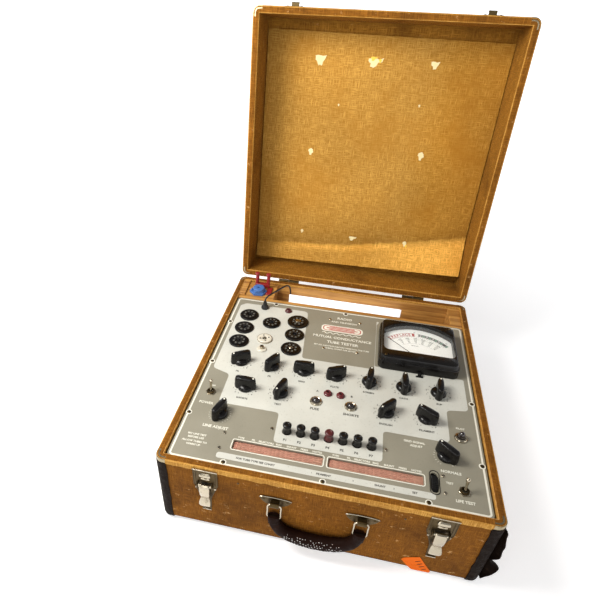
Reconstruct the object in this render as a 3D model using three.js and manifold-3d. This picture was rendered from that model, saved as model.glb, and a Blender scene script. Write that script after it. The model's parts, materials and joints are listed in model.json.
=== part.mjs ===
// Portable tube tester in a fabric-covered wooden case, shown with its lid open.
// Millimetres. +Z is up, -Y is the front with the carrying handle, and the origin is the
// centre of the underside of the case.
import * as THREE from "three";
import { mergeVertices } from "three/addons/utils/BufferGeometryUtils.js";
import Module from "manifold-3d";

const wasm = await Module();
wasm.setup();

// ------------------------------------------------------------------ driving dimensions
const GAP = 0.3; // air between pieces that lie against each other
const CASE_W = 430;
const CASE_D = 457;
const BASE_H = 131;
const LID_H = 85;
const WALL = 9.5;
const FLOOR_T = 8;
const LID_TOP_T = 5;
const CORNER_R = 10;
const EDGE_R = 8;
const LID_SEAM = 0.4; // air between the two rims when the lid is shut
const LID_OPEN = THREE.MathUtils.degToRad(99.4);
const HINGE_OUT = 3.2; // hinge pin behind the back of the case

const PANEL_TOP = 127.4;
const PANEL_T = 2.5;
const PANEL_W = 406;
const PANEL_FRONT = -219;
const PANEL_BACK = 157.5;

const KNOB_GAP = 0.5;
const KNOB_H = 20;
const KNOB_BAR_L = 32;
const KNOB_BAR_W = 9.6;
const SKIRT_R = 11;
const SHAFT_R = 3;

const BUTTON_COUNT = 7;
const BUTTON_PITCH = 19.05;
const BUTTON_Y = -144.5;
const BUTTON_R = 6;

const FRONT = -CASE_D / 2;
const BACK = CASE_D / 2;
const INNER_X = CASE_W / 2 - WALL;
const INNER_Y = CASE_D / 2 - WALL;
const PANEL_UNDER = PANEL_TOP - PANEL_T;

// Tube sockets: three rows in two outer columns, and two sockets between them.
const SOCKET_ROWS = [105.5, 67.5, 29.5];
const SOCKET_LEFT_X = -170;
const SOCKET_RIGHT_X = -81.5;
const SOCKETS = [
  { name: "tube_socket_1", x: SOCKET_LEFT_X, y: SOCKET_ROWS[0], rim: 17, kind: "bakelite" },
  { name: "tube_socket_2", x: SOCKET_LEFT_X, y: SOCKET_ROWS[1], rim: 17, kind: "bakelite" },
  { name: "tube_socket_3", x: SOCKET_LEFT_X, y: SOCKET_ROWS[2], rim: 17, kind: "bakelite" },
  { name: "tube_socket_4", x: -126.5, y: 91.5, rim: 16, kind: "bakelite" },
  { name: "tube_socket_5", x: -129, y: 45, rim: 13.5, kind: "ceramic" },
  { name: "tube_socket_6", x: SOCKET_RIGHT_X, y: SOCKET_ROWS[0], rim: 19, kind: "ceramic" },
  { name: "tube_socket_7", x: SOCKET_RIGHT_X, y: SOCKET_ROWS[1], rim: 17, kind: "bakelite" },
  { name: "tube_socket_8", x: SOCKET_RIGHT_X, y: SOCKET_ROWS[2], rim: 17, kind: "bakelite" },
];
const SOCKET_HOLE_R = 12.5;
const SOCKET_KEYWAY_R = 3.6;

// Pointer knobs: place, and the way the pointer is turned, in degrees anticlockwise from the back.
const KNOB_ROW = -20;
const KNOBS = [
  { name: "selector_knob_1", x: -153.5, y: KNOB_ROW, turn: 119 },
  { name: "selector_knob_2", x: -102.7, y: KNOB_ROW, turn: -31 },
  { name: "selector_knob_3", x: -52.5, y: KNOB_ROW, turn: -84 },
  { name: "selector_knob_4", x: -2, y: KNOB_ROW, turn: -64 },
  { name: "selector_knob_5", x: 49, y: KNOB_ROW, turn: -4 },
  { name: "selector_knob_6", x: 100.5, y: KNOB_ROW, turn: 2 },
  { name: "selector_knob_7", x: 151.5, y: KNOB_ROW, turn: -3 },
  { name: "selector_knob_8", x: -132.7, y: -75, turn: -90 },
  { name: "selector_knob_9", x: -79.2, y: -75, turn: 160 },
  { name: "shunt_knob", x: 75.4, y: -77.5, turn: 138 },
  { name: "filament_knob", x: 131.2, y: -76.7, turn: 59 },
  { name: "bias_knob", x: 153.5, y: -138, turn: 50 },
  { name: "line_adjust_knob", x: -155, y: -135, turn: -19 },
];

const TOGGLES = [
  { name: "power_toggle", x: -180.2, y: -95.9 },
  { name: "life_test_toggle", x: 171.6, y: -187.9 },
];
const TOGGLE_TILT = THREE.MathUtils.degToRad(13);

const CHART_Y = -182;
const CHART_WINDOW_D = 15;
const CHART_WINDOWS = [
  [-123.5, -3.5],
  [3.5, 123.5],
];
const WHEEL_X = 136.5;
const WHEEL_R = 16;
const WHEEL_W = 8;
const WHEEL_Z = 115.4;

const METER = { x0: 60, x1: 184, y0: 17, y1: 126, h: 24 };
const METER_X = (METER.x0 + METER.x1) / 2;
const DIAL_Z = 137;
const BEZEL_T = 3.4;
const NEEDLE_Y = 39.5;
const NEEDLE_L = 69;
const NEEDLE_REST = THREE.MathUtils.degToRad(48);

const DIVIDER_Y = 158;
const DIVIDER_T = 8;
const DIVIDER_TOP = 127;
const SHELF_X = -139;

const LATCH_X = [-147.5, 147.5];
const LATCH_PIVOT_Z = 98;
const LATCH_PIVOT_Y = FRONT - 4.6;
const STRIKE_X = [-150, 147.5];

const HANDLE_X = 55;
const HANDLE_PIVOT_Y = FRONT - 7;
const HANDLE_PIVOT_Z = 91;
const LOOP_W = 20;
const LOOP_WIRE_R = 1.5;

const HINGE_X = 120;
const HINGE_W = 40;
const KNUCKLE_R = 2.8;
const HINGE_PIN_R = 1.3;

const LEAD_R = 1.5;
const LEAD_EXIT = [-147.5, 134.5];
const COIL = { x: -112, y: 197, inner: 13.5, outer: 19.5, h: 6 };
// Route of the grid-cap lead from its bushing, over the shelf and down into the compartment.
const LEAD_ROUTE = [
  [-147.5, 134.5, 141.5],
  [-147.3, 134.8, 146],
  [-145.5, 138, 149.5],
  [-141, 144, 151.5],
  [-135, 152.5, 152.5],
  [-128, 162, 153.5],
  [-121.5, 172, 154],
  [-116.5, 182, 152],
  [-113, 190, 146],
  [-111.3, 196.5, 136],
  [-111, 201.5, 124],
  [-111.2, 205.5, 110],
  [-111.6, 208.5, 92],
  [-112, 210.5, 72],
  [-112.2, 212, 52],
  [-112, 212.8, 36],
  [-110.5, 213.3, 25],
  [-106.5, 213, 18],
];

// ------------------------------------------------------------------ solids and meshes
// A closed three.js geometry as a solid that can be joined and cut.
function solid(geometry) {
  const bare = geometry.clone();
  bare.deleteAttribute("normal");
  bare.deleteAttribute("uv");
  const merged = mergeVertices(bare, 1e-3);
  const corners = merged.index.array;
  const kept = [];
  for (let i = 0; i < corners.length; i += 3) {
    const [a, b, c] = [corners[i], corners[i + 1], corners[i + 2]];
    if (a !== b && b !== c && c !== a) kept.push(a, b, c);
  }
  const build = (triangles) =>
    new wasm.Manifold(
      new wasm.Mesh({
        numProp: 3,
        vertProperties: new Float32Array(merged.attributes.position.array),
        triVerts: new Uint32Array(triangles),
      }),
    );
  const made = build(kept);
  return made.volume() > 0 ? made : build(kept.toReversed());
}

function geometryOf(manifold) {
  const mesh = manifold.getMesh();
  const geometry = new THREE.BufferGeometry();
  geometry.setAttribute("position", new THREE.BufferAttribute(new Float32Array(mesh.vertProperties), 3));
  geometry.setIndex([...mesh.triVerts]);
  const faceted = geometry.toNonIndexed();
  faceted.computeVertexNormals();
  return faceted;
}

const join = (first, ...rest) => rest.reduce((sum, next) => sum.add(next), first);
const cut = (first, ...rest) => rest.reduce((sum, next) => sum.subtract(next), first);

function box(x0, x1, y0, y1, z0, z1) {
  const geometry = new THREE.BoxGeometry(x1 - x0, y1 - y0, z1 - z0);
  return solid(geometry.translate((x0 + x1) / 2, (y0 + y1) / 2, (z0 + z1) / 2));
}

function roundedRect(x0, x1, y0, y1, r) {
  const shape = new THREE.Shape();
  shape.absarc(x1 - r, y1 - r, r, 0, Math.PI / 2);
  shape.absarc(x0 + r, y1 - r, r, Math.PI / 2, Math.PI);
  shape.absarc(x0 + r, y0 + r, r, Math.PI, 1.5 * Math.PI);
  shape.absarc(x1 - r, y0 + r, r, 1.5 * Math.PI, 2 * Math.PI);
  return shape;
}

// A flat outline raised from z0 to z1.
function prism(shape, z0, z1, curveSegments = 4) {
  const options = { depth: z1 - z0, bevelEnabled: false, curveSegments };
  return solid(new THREE.ExtrudeGeometry(shape, options).translate(0, 0, z0));
}

// A profile of [radius, height] turned about the upright axis through (x, y).
function turned(profile, x, y, segments = 16) {
  const points = profile.map(([r, h]) => new THREE.Vector2(r, h));
  const geometry = new THREE.LatheGeometry(points, segments);
  return solid(geometry.rotateX(Math.PI / 2).translate(x, y, 0));
}

function upright(r, z0, z1, x, y, segments = 16) {
  return turned([[0, z0], [r, z0], [r, z1], [0, z1]], x, y, segments);
}

// A round bar along X.
function barX(r, x0, x1, y, z, segments = 12) {
  const geometry = new THREE.CylinderGeometry(r, r, x1 - x0, segments);
  return solid(geometry.rotateZ(Math.PI / 2).translate((x0 + x1) / 2, y, z));
}

// A box with round upright corners and one rounded end face, standing on z = 0.
function softBox(width, depth, height, cornerR, edgeR) {
  const perCorner = 4;
  const levels = [0, 30, 60, 90].map((deg) => {
    const a = THREE.MathUtils.degToRad(deg);
    return { z: edgeR * (1 - Math.cos(a)), inset: edgeR * (1 - Math.sin(a)) };
  });
  levels.push({ z: height, inset: 0 });
  const positions = [];
  for (const { z, inset } of levels) {
    const r = cornerR - inset;
    for (let corner = 0; corner < 4; corner += 1) {
      const sx = corner === 0 || corner === 3 ? 1 : -1;
      const sy = corner < 2 ? 1 : -1;
      for (let i = 0; i <= perCorner; i += 1) {
        const a = ((corner + i / perCorner) * Math.PI) / 2;
        const cx = sx * (width / 2 - cornerR);
        const cy = sy * (depth / 2 - cornerR);
        positions.push(cx + r * Math.cos(a), cy + r * Math.sin(a), z);
      }
    }
  }
  const ring = 4 * (perCorner + 1);
  const index = [];
  for (let level = 0; level + 1 < levels.length; level += 1) {
    for (let i = 0; i < ring; i += 1) {
      const a = level * ring + i;
      const b = level * ring + ((i + 1) % ring);
      index.push(a, b, b + ring, a, b + ring, a + ring);
    }
  }
  const top = (levels.length - 1) * ring;
  for (let i = 1; i + 1 < ring; i += 1) {
    index.push(0, i + 1, i);
    index.push(top, top + i, top + i + 1);
  }
  const geometry = new THREE.BufferGeometry();
  geometry.setAttribute("position", new THREE.Float32BufferAttribute(positions, 3));
  geometry.setIndex(index);
  return solid(geometry);
}

// ------------------------------------------------------------------ materials
const FINISHES = {
  tweed: [0x8a5a22, 0.9, 0],
  wood: [0xb98a4a, 0.7, 0],
  panel: [0xa59e87, 0.55, 0.1],
  bakelite: [0x151313, 0.35, 0],
  ceramic: [0xe8e4da, 0.3, 0],
  nickel: [0xcfcac0, 0.25, 1],
  steel: [0x6f7176, 0.5, 0.9],
  paper: [0xe8e6e0, 0.85, 0],
  chart: [0xd9967c, 0.8, 0],
  leather: [0x2a1812, 0.5, 0],
  maroon: [0x4a1414, 0.35, 0],
  rubber: [0x0e0e0e, 0.6, 0],
};

const group = new THREE.Group();

function add(name, manifold, finish, parent = group) {
  const [color, roughness, metalness] = FINISHES[finish];
  const material = new THREE.MeshStandardMaterial({ color, roughness, metalness });
  const mesh = new THREE.Mesh(geometryOf(manifold), material);
  mesh.name = name;
  parent.add(mesh);
  return mesh;
}

// ------------------------------------------------------------------ case
function baseCase() {
  const shell = softBox(CASE_W, CASE_D, BASE_H, CORNER_R, EDGE_R);
  const hollow = box(-INNER_X, INNER_X, -INNER_Y, INNER_Y, FLOOR_T, BASE_H + 1);
  const cleat = 9; // width of the wooden strips that carry the panel
  const bite = 1; // how far the strips run into the walls
  const strips = cut(
    box(-INNER_X - bite, INNER_X + bite, -INNER_Y - bite, DIVIDER_Y - 1, 106, PANEL_UNDER - GAP),
    box(-INNER_X + cleat, INNER_X - cleat, -INNER_Y + cleat, DIVIDER_Y, 105, PANEL_UNDER),
  );
  return join(cut(shell, hollow), strips);
}

function lidCase() {
  const shell = softBox(CASE_W, CASE_D, LID_H, CORNER_R, EDGE_R);
  const hollow = box(-INNER_X, INNER_X, -INNER_Y, INNER_Y, LID_TOP_T, LID_H + 1);
  // The rounded end face is the lid's top, so the shell is turned over.
  return cut(shell, hollow).rotate([180, 0, 0]).translate([0, 0, BASE_H + LID_SEAM + LID_H]);
}

add("base_case", baseCase(), "tweed");

const dividerWidth = INNER_X - GAP;
add(
  "compartment_divider",
  box(-dividerWidth, dividerWidth, DIVIDER_Y, DIVIDER_Y + DIVIDER_T, FLOOR_T + GAP, DIVIDER_TOP),
  "wood",
);

const shelfFront = DIVIDER_Y + DIVIDER_T + GAP;
const shelfBack = INNER_Y - GAP;
add(
  "compartment_shelf",
  join(
    box(-dividerWidth, SHELF_X, shelfFront, shelfBack, DIVIDER_TOP - 7, DIVIDER_TOP),
    box(SHELF_X - 6, SHELF_X, shelfFront, shelfBack, FLOOR_T + GAP, DIVIDER_TOP - 6),
  ),
  "wood",
);

// ------------------------------------------------------------------ panel and what hangs below it
function circleHole(shape, x, y, r, sides = 12) {
  const points = Array.from({ length: sides }, (_, i) => {
    const a = (2 * Math.PI * i) / sides;
    return new THREE.Vector2(x + r * Math.cos(a), y + r * Math.sin(a));
  });
  shape.holes.push(new THREE.Path(points));
}

function panel() {
  const shape = roundedRect(-PANEL_W / 2, PANEL_W / 2, PANEL_FRONT, PANEL_BACK, 6);
  for (const socket of SOCKETS) circleHole(shape, socket.x, socket.y, SOCKET_HOLE_R, 14);
  for (const knob of KNOBS) circleHole(shape, knob.x, knob.y, SHAFT_R + 0.8, 8);
  for (let i = 0; i < BUTTON_COUNT; i += 1) circleHole(shape, buttonX(i), BUTTON_Y, BUTTON_R + 0.7, 10);
  const half = CHART_WINDOW_D / 2;
  for (const [x0, x1] of CHART_WINDOWS) {
    shape.holes.push(roundedRect(x0, x1, CHART_Y - half, CHART_Y + half, 2.5));
  }
  const slot = WHEEL_W / 2 + 0.8;
  shape.holes.push(roundedRect(WHEEL_X - slot, WHEEL_X + slot, CHART_Y - 15, CHART_Y + 15, slot - 0.1));
  return prism(shape, PANEL_UNDER, PANEL_TOP, 2);
}

function buttonX(i) {
  return (i - (BUTTON_COUNT - 1) / 2) * BUTTON_PITCH;
}

// Sub-chassis plate that carries the wafer switches, the push-button bank and its hangers.
function switchChassis() {
  const plateZ = 86;
  const wafers = KNOBS.map((knob) => upright(15, plateZ + 1, 118.5, knob.x, knob.y, 10));
  const hangers = [-185, 185].flatMap((x) =>
    [-60, -2].map((y) => upright(4, plateZ + 1, PANEL_UNDER - GAP, x, y, 8)),
  );
  const bankHalf = buttonX(BUTTON_COUNT - 1) + 9;
  const bank = box(-bankHalf, bankHalf, BUTTON_Y - 10, BUTTON_Y + 10, plateZ + 1, 112);
  return join(box(-192, 192, -158, 5, plateZ, plateZ + 2), ...wafers, ...hangers, bank);
}

function powerTransformer() {
  const z0 = FLOOR_T + GAP;
  return join(
    box(60, 144, -70, -10, z0 + 6, z0 + 66),
    box(70, 134, -92, 12, z0 + 12, z0 + 60),
    box(54, 150, -74, -6, z0, z0 + 7),
  );
}

add("panel", panel(), "panel");
add("switch_chassis", switchChassis(), "steel");
add("power_transformer", powerTransformer(), "steel");

// A socket is a flanged body with a keyway bore in its middle.
for (const socket of SOCKETS) {
  const top = PANEL_TOP + 3;
  const flange = PANEL_TOP + GAP;
  const body = turned(
    [
      [0, 112],
      [SOCKET_HOLE_R - 0.5, 112],
      [SOCKET_HOLE_R - 0.5, flange],
      [socket.rim, flange],
      [socket.rim - 0.8, top],
      [SOCKET_KEYWAY_R, top],
      [SOCKET_KEYWAY_R, 117],
      [0, 117],
    ],
    socket.x,
    socket.y,
    14,
  );
  add(socket.name, body, socket.kind);
}

// ------------------------------------------------------------------ knobs, buttons and toggles
function pointerKnob(x, y, turn) {
  const base = PANEL_TOP + KNOB_GAP;
  const top = base + KNOB_H;
  const skirt = [[0, base], [SKIRT_R, base], [SKIRT_R - 0.6, base + 5], [7, base + 7], [0, base + 7]];
  const bevel = 1.2;
  const half = KNOB_BAR_L / 2 - bevel;
  const bar = roundedRect(-KNOB_BAR_W / 2 + bevel, KNOB_BAR_W / 2 - bevel, -half, half, 3);
  const options = {
    depth: KNOB_H - bevel - 1,
    bevelThickness: bevel,
    bevelSize: bevel,
    bevelSegments: 1,
    curveSegments: 2,
  };
  const grip = new THREE.ExtrudeGeometry(bar, options).translate(0, 0, base + 1);
  const clipped = solid(grip).intersect(box(-20, 20, -20, 20, base + 1, top));
  const shaft = upright(SHAFT_R, 119, base + 2, 0, 0, 8);
  return join(turned(skirt, 0, 0, 14), clipped, shaft).rotate([0, 0, turn]).translate([x, y, 0]);
}

for (const knob of KNOBS) add(knob.name, pointerKnob(knob.x, knob.y, knob.turn), "bakelite");

for (let i = 0; i < BUTTON_COUNT; i += 1) {
  const waist = [
    [0, 118],
    [BUTTON_R - 0.6, 118],
    [BUTTON_R - 0.6, PANEL_TOP + 1],
    [BUTTON_R, PANEL_TOP + 3],
    [BUTTON_R - 1, PANEL_TOP + 7.5],
    [BUTTON_R, PANEL_TOP + 12],
    [BUTTON_R - 0.8, PANEL_TOP + 14.5],
    [0, PANEL_TOP + 15],
  ];
  const middle = i === (BUTTON_COUNT - 1) / 2;
  add(`push_button_${i + 1}`, turned(waist, buttonX(i), BUTTON_Y, 10), middle ? "maroon" : "bakelite");
}

for (const toggle of TOGGLES) {
  const pivotZ = PANEL_TOP + 4;
  const bat = [
    [0, -3],
    [2.4, -1.8],
    [3, 0],
    [1.7, 3],
    [2.1, 12],
    [2.9, 15.5],
    [2.2, 17.6],
    [0, 18.2],
  ];
  const lever = turned(bat, 0, 0, 8).rotate([-THREE.MathUtils.radToDeg(TOGGLE_TILT), 0, 0]);
  add(toggle.name, lever.translate([toggle.x, toggle.y, pivotZ]), "nickel");
}

// ------------------------------------------------------------------ roll chart
function rollChart() {
  const half = CHART_WINDOW_D / 2 + 3;
  return box(-127, 127, CHART_Y - half, CHART_Y + half, PANEL_UNDER - 2.6, PANEL_UNDER - 1.4);
}

function chartThumbwheel() {
  const wheel = barX(WHEEL_R, WHEEL_X - WHEEL_W / 2, WHEEL_X + WHEEL_W / 2, CHART_Y, WHEEL_Z, 28);
  return join(wheel, barX(5.5, -127, WHEEL_X - 1, CHART_Y, WHEEL_Z));
}

add("roll_chart", rollChart(), "chart");
add("chart_thumbwheel", chartThumbwheel(), "bakelite");

// ------------------------------------------------------------------ meter
// Window outline: straight sides and foot, and an arched head.
function meterWindow() {
  const [x0, x1, y0, y1] = [METER.x0 + 7, METER.x1 - 7, METER.y0 + 24, METER.y1 - 27];
  const r = 8;
  const rise = 19;
  const half = (x1 - x0) / 2 - r;
  const reach = (half * half + rise * rise) / (2 * rise);
  const spread = Math.asin(half / reach);
  const archR = reach + r;
  const shape = new THREE.Shape();
  shape.absarc(x0 + r, y0 + r, r, Math.PI, 1.5 * Math.PI);
  shape.absarc(x1 - r, y0 + r, r, 1.5 * Math.PI, 2 * Math.PI);
  shape.absarc(x1 - r, y1 - r, r, 0, Math.PI / 2 - spread);
  shape.absarc(METER_X, y1 + rise - archR, archR, Math.PI / 2 - spread, Math.PI / 2 + spread);
  shape.absarc(x0 + r, y1 - r, r, Math.PI / 2 + spread, Math.PI);
  return shape;
}

function meterCase() {
  const top = PANEL_TOP + METER.h;
  const outer = prism(roundedRect(METER.x0, METER.x1, METER.y0, METER.y1, 10), PANEL_TOP + GAP, top, 5);
  const pocketShape = roundedRect(METER.x0 + 4, METER.x1 - 4, METER.y0 + 4, METER.y1 - 4, 7);
  const pocket = prism(pocketShape, DIAL_Z, top - BEZEL_T, 3);
  return cut(outer, pocket, prism(meterWindow(), DIAL_Z, top + 1, 5));
}

function meterNeedle() {
  const z = DIAL_Z + 4;
  const hub = upright(3, DIAL_Z + 1.8, z + 3, 0, 0, 10);
  const pointer = box(-0.5, 0.5, -9, NEEDLE_L, z, z + 0.8);
  const turn = THREE.MathUtils.radToDeg(NEEDLE_REST);
  return join(hub, pointer).rotate([0, 0, turn]).translate([METER_X, NEEDLE_Y, 0]);
}

add("meter_case", meterCase(), "bakelite");
const dialShape = roundedRect(METER.x0 + 4.4, METER.x1 - 4.4, METER.y0 + 4.4, METER.y1 - 4.4, 7);
add("meter_dial", prism(dialShape, DIAL_Z + GAP, DIAL_Z + 1.3, 3), "paper");
add("meter_needle", meterNeedle(), "bakelite");

// ------------------------------------------------------------------ grid-cap lead
function leadTube() {
  const path = new THREE.CatmullRomCurve3(LEAD_ROUTE.map((p) => new THREE.Vector3(...p)), false, "centripetal");
  const section = new THREE.Shape().absarc(0, 0, LEAD_R, 0, 2 * Math.PI);
  const options = { extrudePath: path, steps: 30, bevelEnabled: false, curveSegments: 4 };
  return solid(new THREE.ExtrudeGeometry(section, options));
}

function bushing() {
  const [x, y] = LEAD_EXIT;
  const z = PANEL_TOP + GAP;
  return turned([[0, z], [6.2, z], [6.2, z + 4], [3.4, z + 6], [2.8, 141.2], [0, 141.2]], x, y, 14);
}

function capClip() {
  const profile = [[0, 0], [2.2, 0], [4.2, 3], [4.2, 12], [3.2, 13.5], [0, 13.5]];
  return turned(profile, 0, 0, 12).rotate([90, 0, 0]).translate([-87, 204, FLOOR_T + GAP + 4.4]);
}

add("cap_lead_bushing", bushing(), "rubber");
add("cap_lead", leadTube(), "rubber");
const coilFoot = FLOOR_T + GAP;
add(
  "cap_lead_coil",
  turned(
    [
      [COIL.inner, coilFoot],
      [COIL.outer, coilFoot],
      [COIL.outer, coilFoot + COIL.h],
      [COIL.inner, coilFoot + COIL.h],
      [COIL.inner, coilFoot],
    ],
    COIL.x,
    COIL.y,
    20,
  ),
  "rubber",
);
add("cap_clip", capClip(), "nickel");

// ------------------------------------------------------------------ latches and handle
const ACROSS_FRONT = [90, 0, 0]; // turns an outline drawn in X and Y up into X and Z

function latchPlate(x) {
  const shape = new THREE.Shape();
  const outline = [
    [-16.5, 127],
    [-16.5, 96],
    [-7.5, 72],
    [-6, 43],
    [6, 43],
    [7.5, 72],
    [16.5, 96],
    [16.5, 127],
  ];
  shape.setFromPoints(outline.map(([px, pz]) => new THREE.Vector2(x + px, pz)));
  const plate = prism(shape, 0, 1.3).rotate(ACROSS_FRONT).translate([0, FRONT - GAP, 0]);
  const ears = [-10, 10].map((ear) =>
    box(x + ear - 1, x + ear + 1, LATCH_PIVOT_Y - 2.5, FRONT - GAP - 0.5, LATCH_PIVOT_Z - 4, LATCH_PIVOT_Z + 4),
  );
  return join(plate, ...ears);
}

function latchLever(x) {
  const arm = box(x - 7, x + 7, LATCH_PIVOT_Y - 1.2, LATCH_PIVOT_Y + 1.2, 52, LATCH_PIVOT_Z);
  const thumb = barX(4, x - 7.5, x + 7.5, LATCH_PIVOT_Y - 2, 51);
  return join(arm, thumb, barX(2.2, x - 8.5, x + 8.5, LATCH_PIVOT_Y, LATCH_PIVOT_Z));
}

function handlePlate(x) {
  const plateShape = roundedRect(x - 21, x + 21, 80, 99, 7);
  const plate = prism(plateShape, 0, 1.4).rotate(ACROSS_FRONT).translate([0, FRONT - GAP, 0]);
  const stem = box(x - 6, x + 6, HANDLE_PIVOT_Y, FRONT - GAP - 0.5, HANDLE_PIVOT_Z - 2.2, HANDLE_PIVOT_Z + 2.2);
  const barrel = barX(3.4, x - 6, x + 6, HANDLE_PIVOT_Y, HANDLE_PIVOT_Z);
  const bore = barX(LOOP_WIRE_R + 0.45, x - 7, x + 7, HANDLE_PIVOT_Y, HANDLE_PIVOT_Z);
  return cut(join(plate, stem, barrel), bore);
}

function wireLoop(x) {
  const half = LOOP_W / 2 - LOOP_WIRE_R;
  const foot = 64;
  const sides = [-half, half].map((dx) =>
    upright(LOOP_WIRE_R, foot, HANDLE_PIVOT_Z, x + dx, HANDLE_PIVOT_Y, 8),
  );
  const bars = [foot, HANDLE_PIVOT_Z].map((z) =>
    barX(LOOP_WIRE_R, x - half - 1, x + half + 1, HANDLE_PIVOT_Y, z, 8),
  );
  return join(...sides, ...bars);
}

function handle() {
  const route = [
    [-HANDLE_X, 68],
    [-HANDLE_X + 1, 58],
    [-HANDLE_X + 8, 44],
    [-HANDLE_X + 24, 34],
    [0, 30.5],
    [HANDLE_X - 24, 34],
    [HANDLE_X - 8, 44],
    [HANDLE_X - 1, 58],
    [HANDLE_X, 68],
  ];
  const path = new THREE.CatmullRomCurve3(route.map(([x, z]) => new THREE.Vector3(x, HANDLE_PIVOT_Y, z)));
  const section = new THREE.Shape().absarc(0, 0, 6.6, 0, 2 * Math.PI);
  const options = { extrudePath: path, steps: 20, bevelEnabled: false, curveSegments: 5 };
  const grip = solid(new THREE.ExtrudeGeometry(section, options));
  return join(grip, wireLoop(-HANDLE_X), wireLoop(HANDLE_X));
}

["left", "right"].forEach((side, i) => {
  add(`latch_plate_${side}`, latchPlate(LATCH_X[i]), "nickel");
  add(`latch_lever_${side}`, latchLever(LATCH_X[i]), "nickel");
  add(`handle_plate_${side}`, handlePlate(i ? HANDLE_X : -HANDLE_X), "nickel");
});
add("handle", handle(), "leather");

// ------------------------------------------------------------------ hinges and lid
const PIN_Y = BACK + HINGE_OUT;
const LEAF_T = 1.2;

// The base leaf has the left knuckle and the pin; the pin enters the lid leaf's knuckle.
function hingeBase(x) {
  const middle = x + 0.2;
  const left = x - HINGE_W / 2;
  return join(
    box(left, x + HINGE_W / 2, BACK + GAP, BACK + GAP + LEAF_T, BASE_H - 26, BASE_H - 3.4),
    box(left, middle, BACK + GAP, BACK + GAP + LEAF_T, BASE_H - 4, BASE_H),
    barX(KNUCKLE_R, left, middle, PIN_Y, BASE_H),
    barX(HINGE_PIN_R, middle - 1, x + HINGE_W / 2 - 2, PIN_Y, BASE_H, 10),
  );
}

function hingeLid(x) {
  const middle = x + 0.6;
  const right = x + HINGE_W / 2;
  const leaf = join(
    box(x - HINGE_W / 2, right, BACK + GAP, BACK + GAP + LEAF_T, BASE_H + 3.8, BASE_H + 26),
    box(middle, right, BACK + GAP, BACK + GAP + LEAF_T, BASE_H, BASE_H + 4),
    barX(KNUCKLE_R, middle, right, PIN_Y, BASE_H),
  );
  return cut(leaf, barX(HINGE_PIN_R + 0.5, middle - 1, right + 1, PIN_Y, BASE_H, 10));
}

function strike(x) {
  const foot = BASE_H + LID_SEAM + 3;
  const plate = box(x - 15.5, x + 15.5, FRONT - GAP - 1.3, FRONT - GAP, foot, foot + 26);
  const hook = box(x - 6, x + 6, FRONT - 8, FRONT - GAP - 1, foot + 10, foot + 13);
  const lip = box(x - 6, x + 6, FRONT - 8, FRONT - 6, foot + 10, foot + 18);
  return join(plate, hook, lip);
}

function lidLiner() {
  const top = BASE_H + LID_SEAM + LID_H - LID_TOP_T - GAP;
  // The loose board has slipped down against the hinge wall of the open lid.
  return box(-204, 204, -195, INNER_Y - 1, top - 3, top);
}

for (const [side, x] of [["left", -HINGE_X], ["right", HINGE_X]]) {
  add(`hinge_base_${side}`, hingeBase(x), "nickel");
}

// The lid's pieces are drawn shut, then the whole lid is swung open about the hinge pins.
const lid = new THREE.Group();
const lidPivot = new THREE.Group();
lidPivot.position.set(0, PIN_Y, BASE_H);
lidPivot.rotation.x = -LID_OPEN;
lid.position.set(0, -PIN_Y, -BASE_H);
lidPivot.add(lid);
group.add(lidPivot);

add("lid_case", lidCase(), "tweed", lid);
add("lid_liner", lidLiner(), "tweed", lid);
["left", "right"].forEach((side, i) => {
  add(`hinge_lid_${side}`, hingeLid(i ? HINGE_X : -HINGE_X), "nickel", lid);
  add(`latch_strike_${side}`, strike(STRIKE_X[i]), "nickel", lid);
});

export default group;
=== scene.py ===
"""Portable tube tester in a tweed-covered case with its lid open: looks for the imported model.

Lengths in the tables below are millimetres in the frame's own axes: +X right, +Y back, +Z up.
"""

import json
import math
import random

import bmesh
import bpy
from mathutils import Matrix, Vector, noise


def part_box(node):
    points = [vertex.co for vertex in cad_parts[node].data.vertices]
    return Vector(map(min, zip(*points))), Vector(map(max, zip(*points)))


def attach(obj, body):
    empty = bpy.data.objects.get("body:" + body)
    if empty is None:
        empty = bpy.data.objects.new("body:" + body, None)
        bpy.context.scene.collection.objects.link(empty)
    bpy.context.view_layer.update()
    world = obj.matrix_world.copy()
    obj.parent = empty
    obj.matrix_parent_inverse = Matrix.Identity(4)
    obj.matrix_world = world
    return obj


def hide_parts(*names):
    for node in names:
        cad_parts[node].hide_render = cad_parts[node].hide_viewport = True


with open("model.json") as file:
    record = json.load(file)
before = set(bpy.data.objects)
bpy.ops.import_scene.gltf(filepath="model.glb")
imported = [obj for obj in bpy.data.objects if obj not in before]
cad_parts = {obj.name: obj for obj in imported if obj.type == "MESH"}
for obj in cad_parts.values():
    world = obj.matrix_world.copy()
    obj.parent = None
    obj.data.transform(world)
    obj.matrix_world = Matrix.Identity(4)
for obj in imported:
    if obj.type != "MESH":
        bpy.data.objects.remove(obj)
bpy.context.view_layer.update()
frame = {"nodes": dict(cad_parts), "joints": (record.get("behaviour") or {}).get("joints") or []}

MM = 0.001
SEED = 11
rng = random.Random(SEED)
JOINTS = {joint["name"]: joint for joint in frame["joints"]}


def new_object(name, data):
    made = bpy.data.objects.new(name, data)
    bpy.context.scene.collection.objects.link(made)
    return made


def on_circle(angle, radius_x, radius_y=None):
    """The point at an angle in radians on a circle, or on an ellipse, about the origin."""
    return radius_x * math.cos(angle), (radius_x if radius_y is None else radius_y) * math.sin(angle)


def join_rows(bm, rows, closed=True):
    """Faces between neighbouring rows of vertices; a closed row joins its last vertex to its first."""
    faces = []
    for low, high in zip(rows, rows[1:]):
        for i in range(len(low) if closed else len(low) - 1):
            j = (i + 1) % len(low)
            faces.append(bm.faces.new((low[i], low[j], high[j], high[i])))
    return faces


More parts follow.
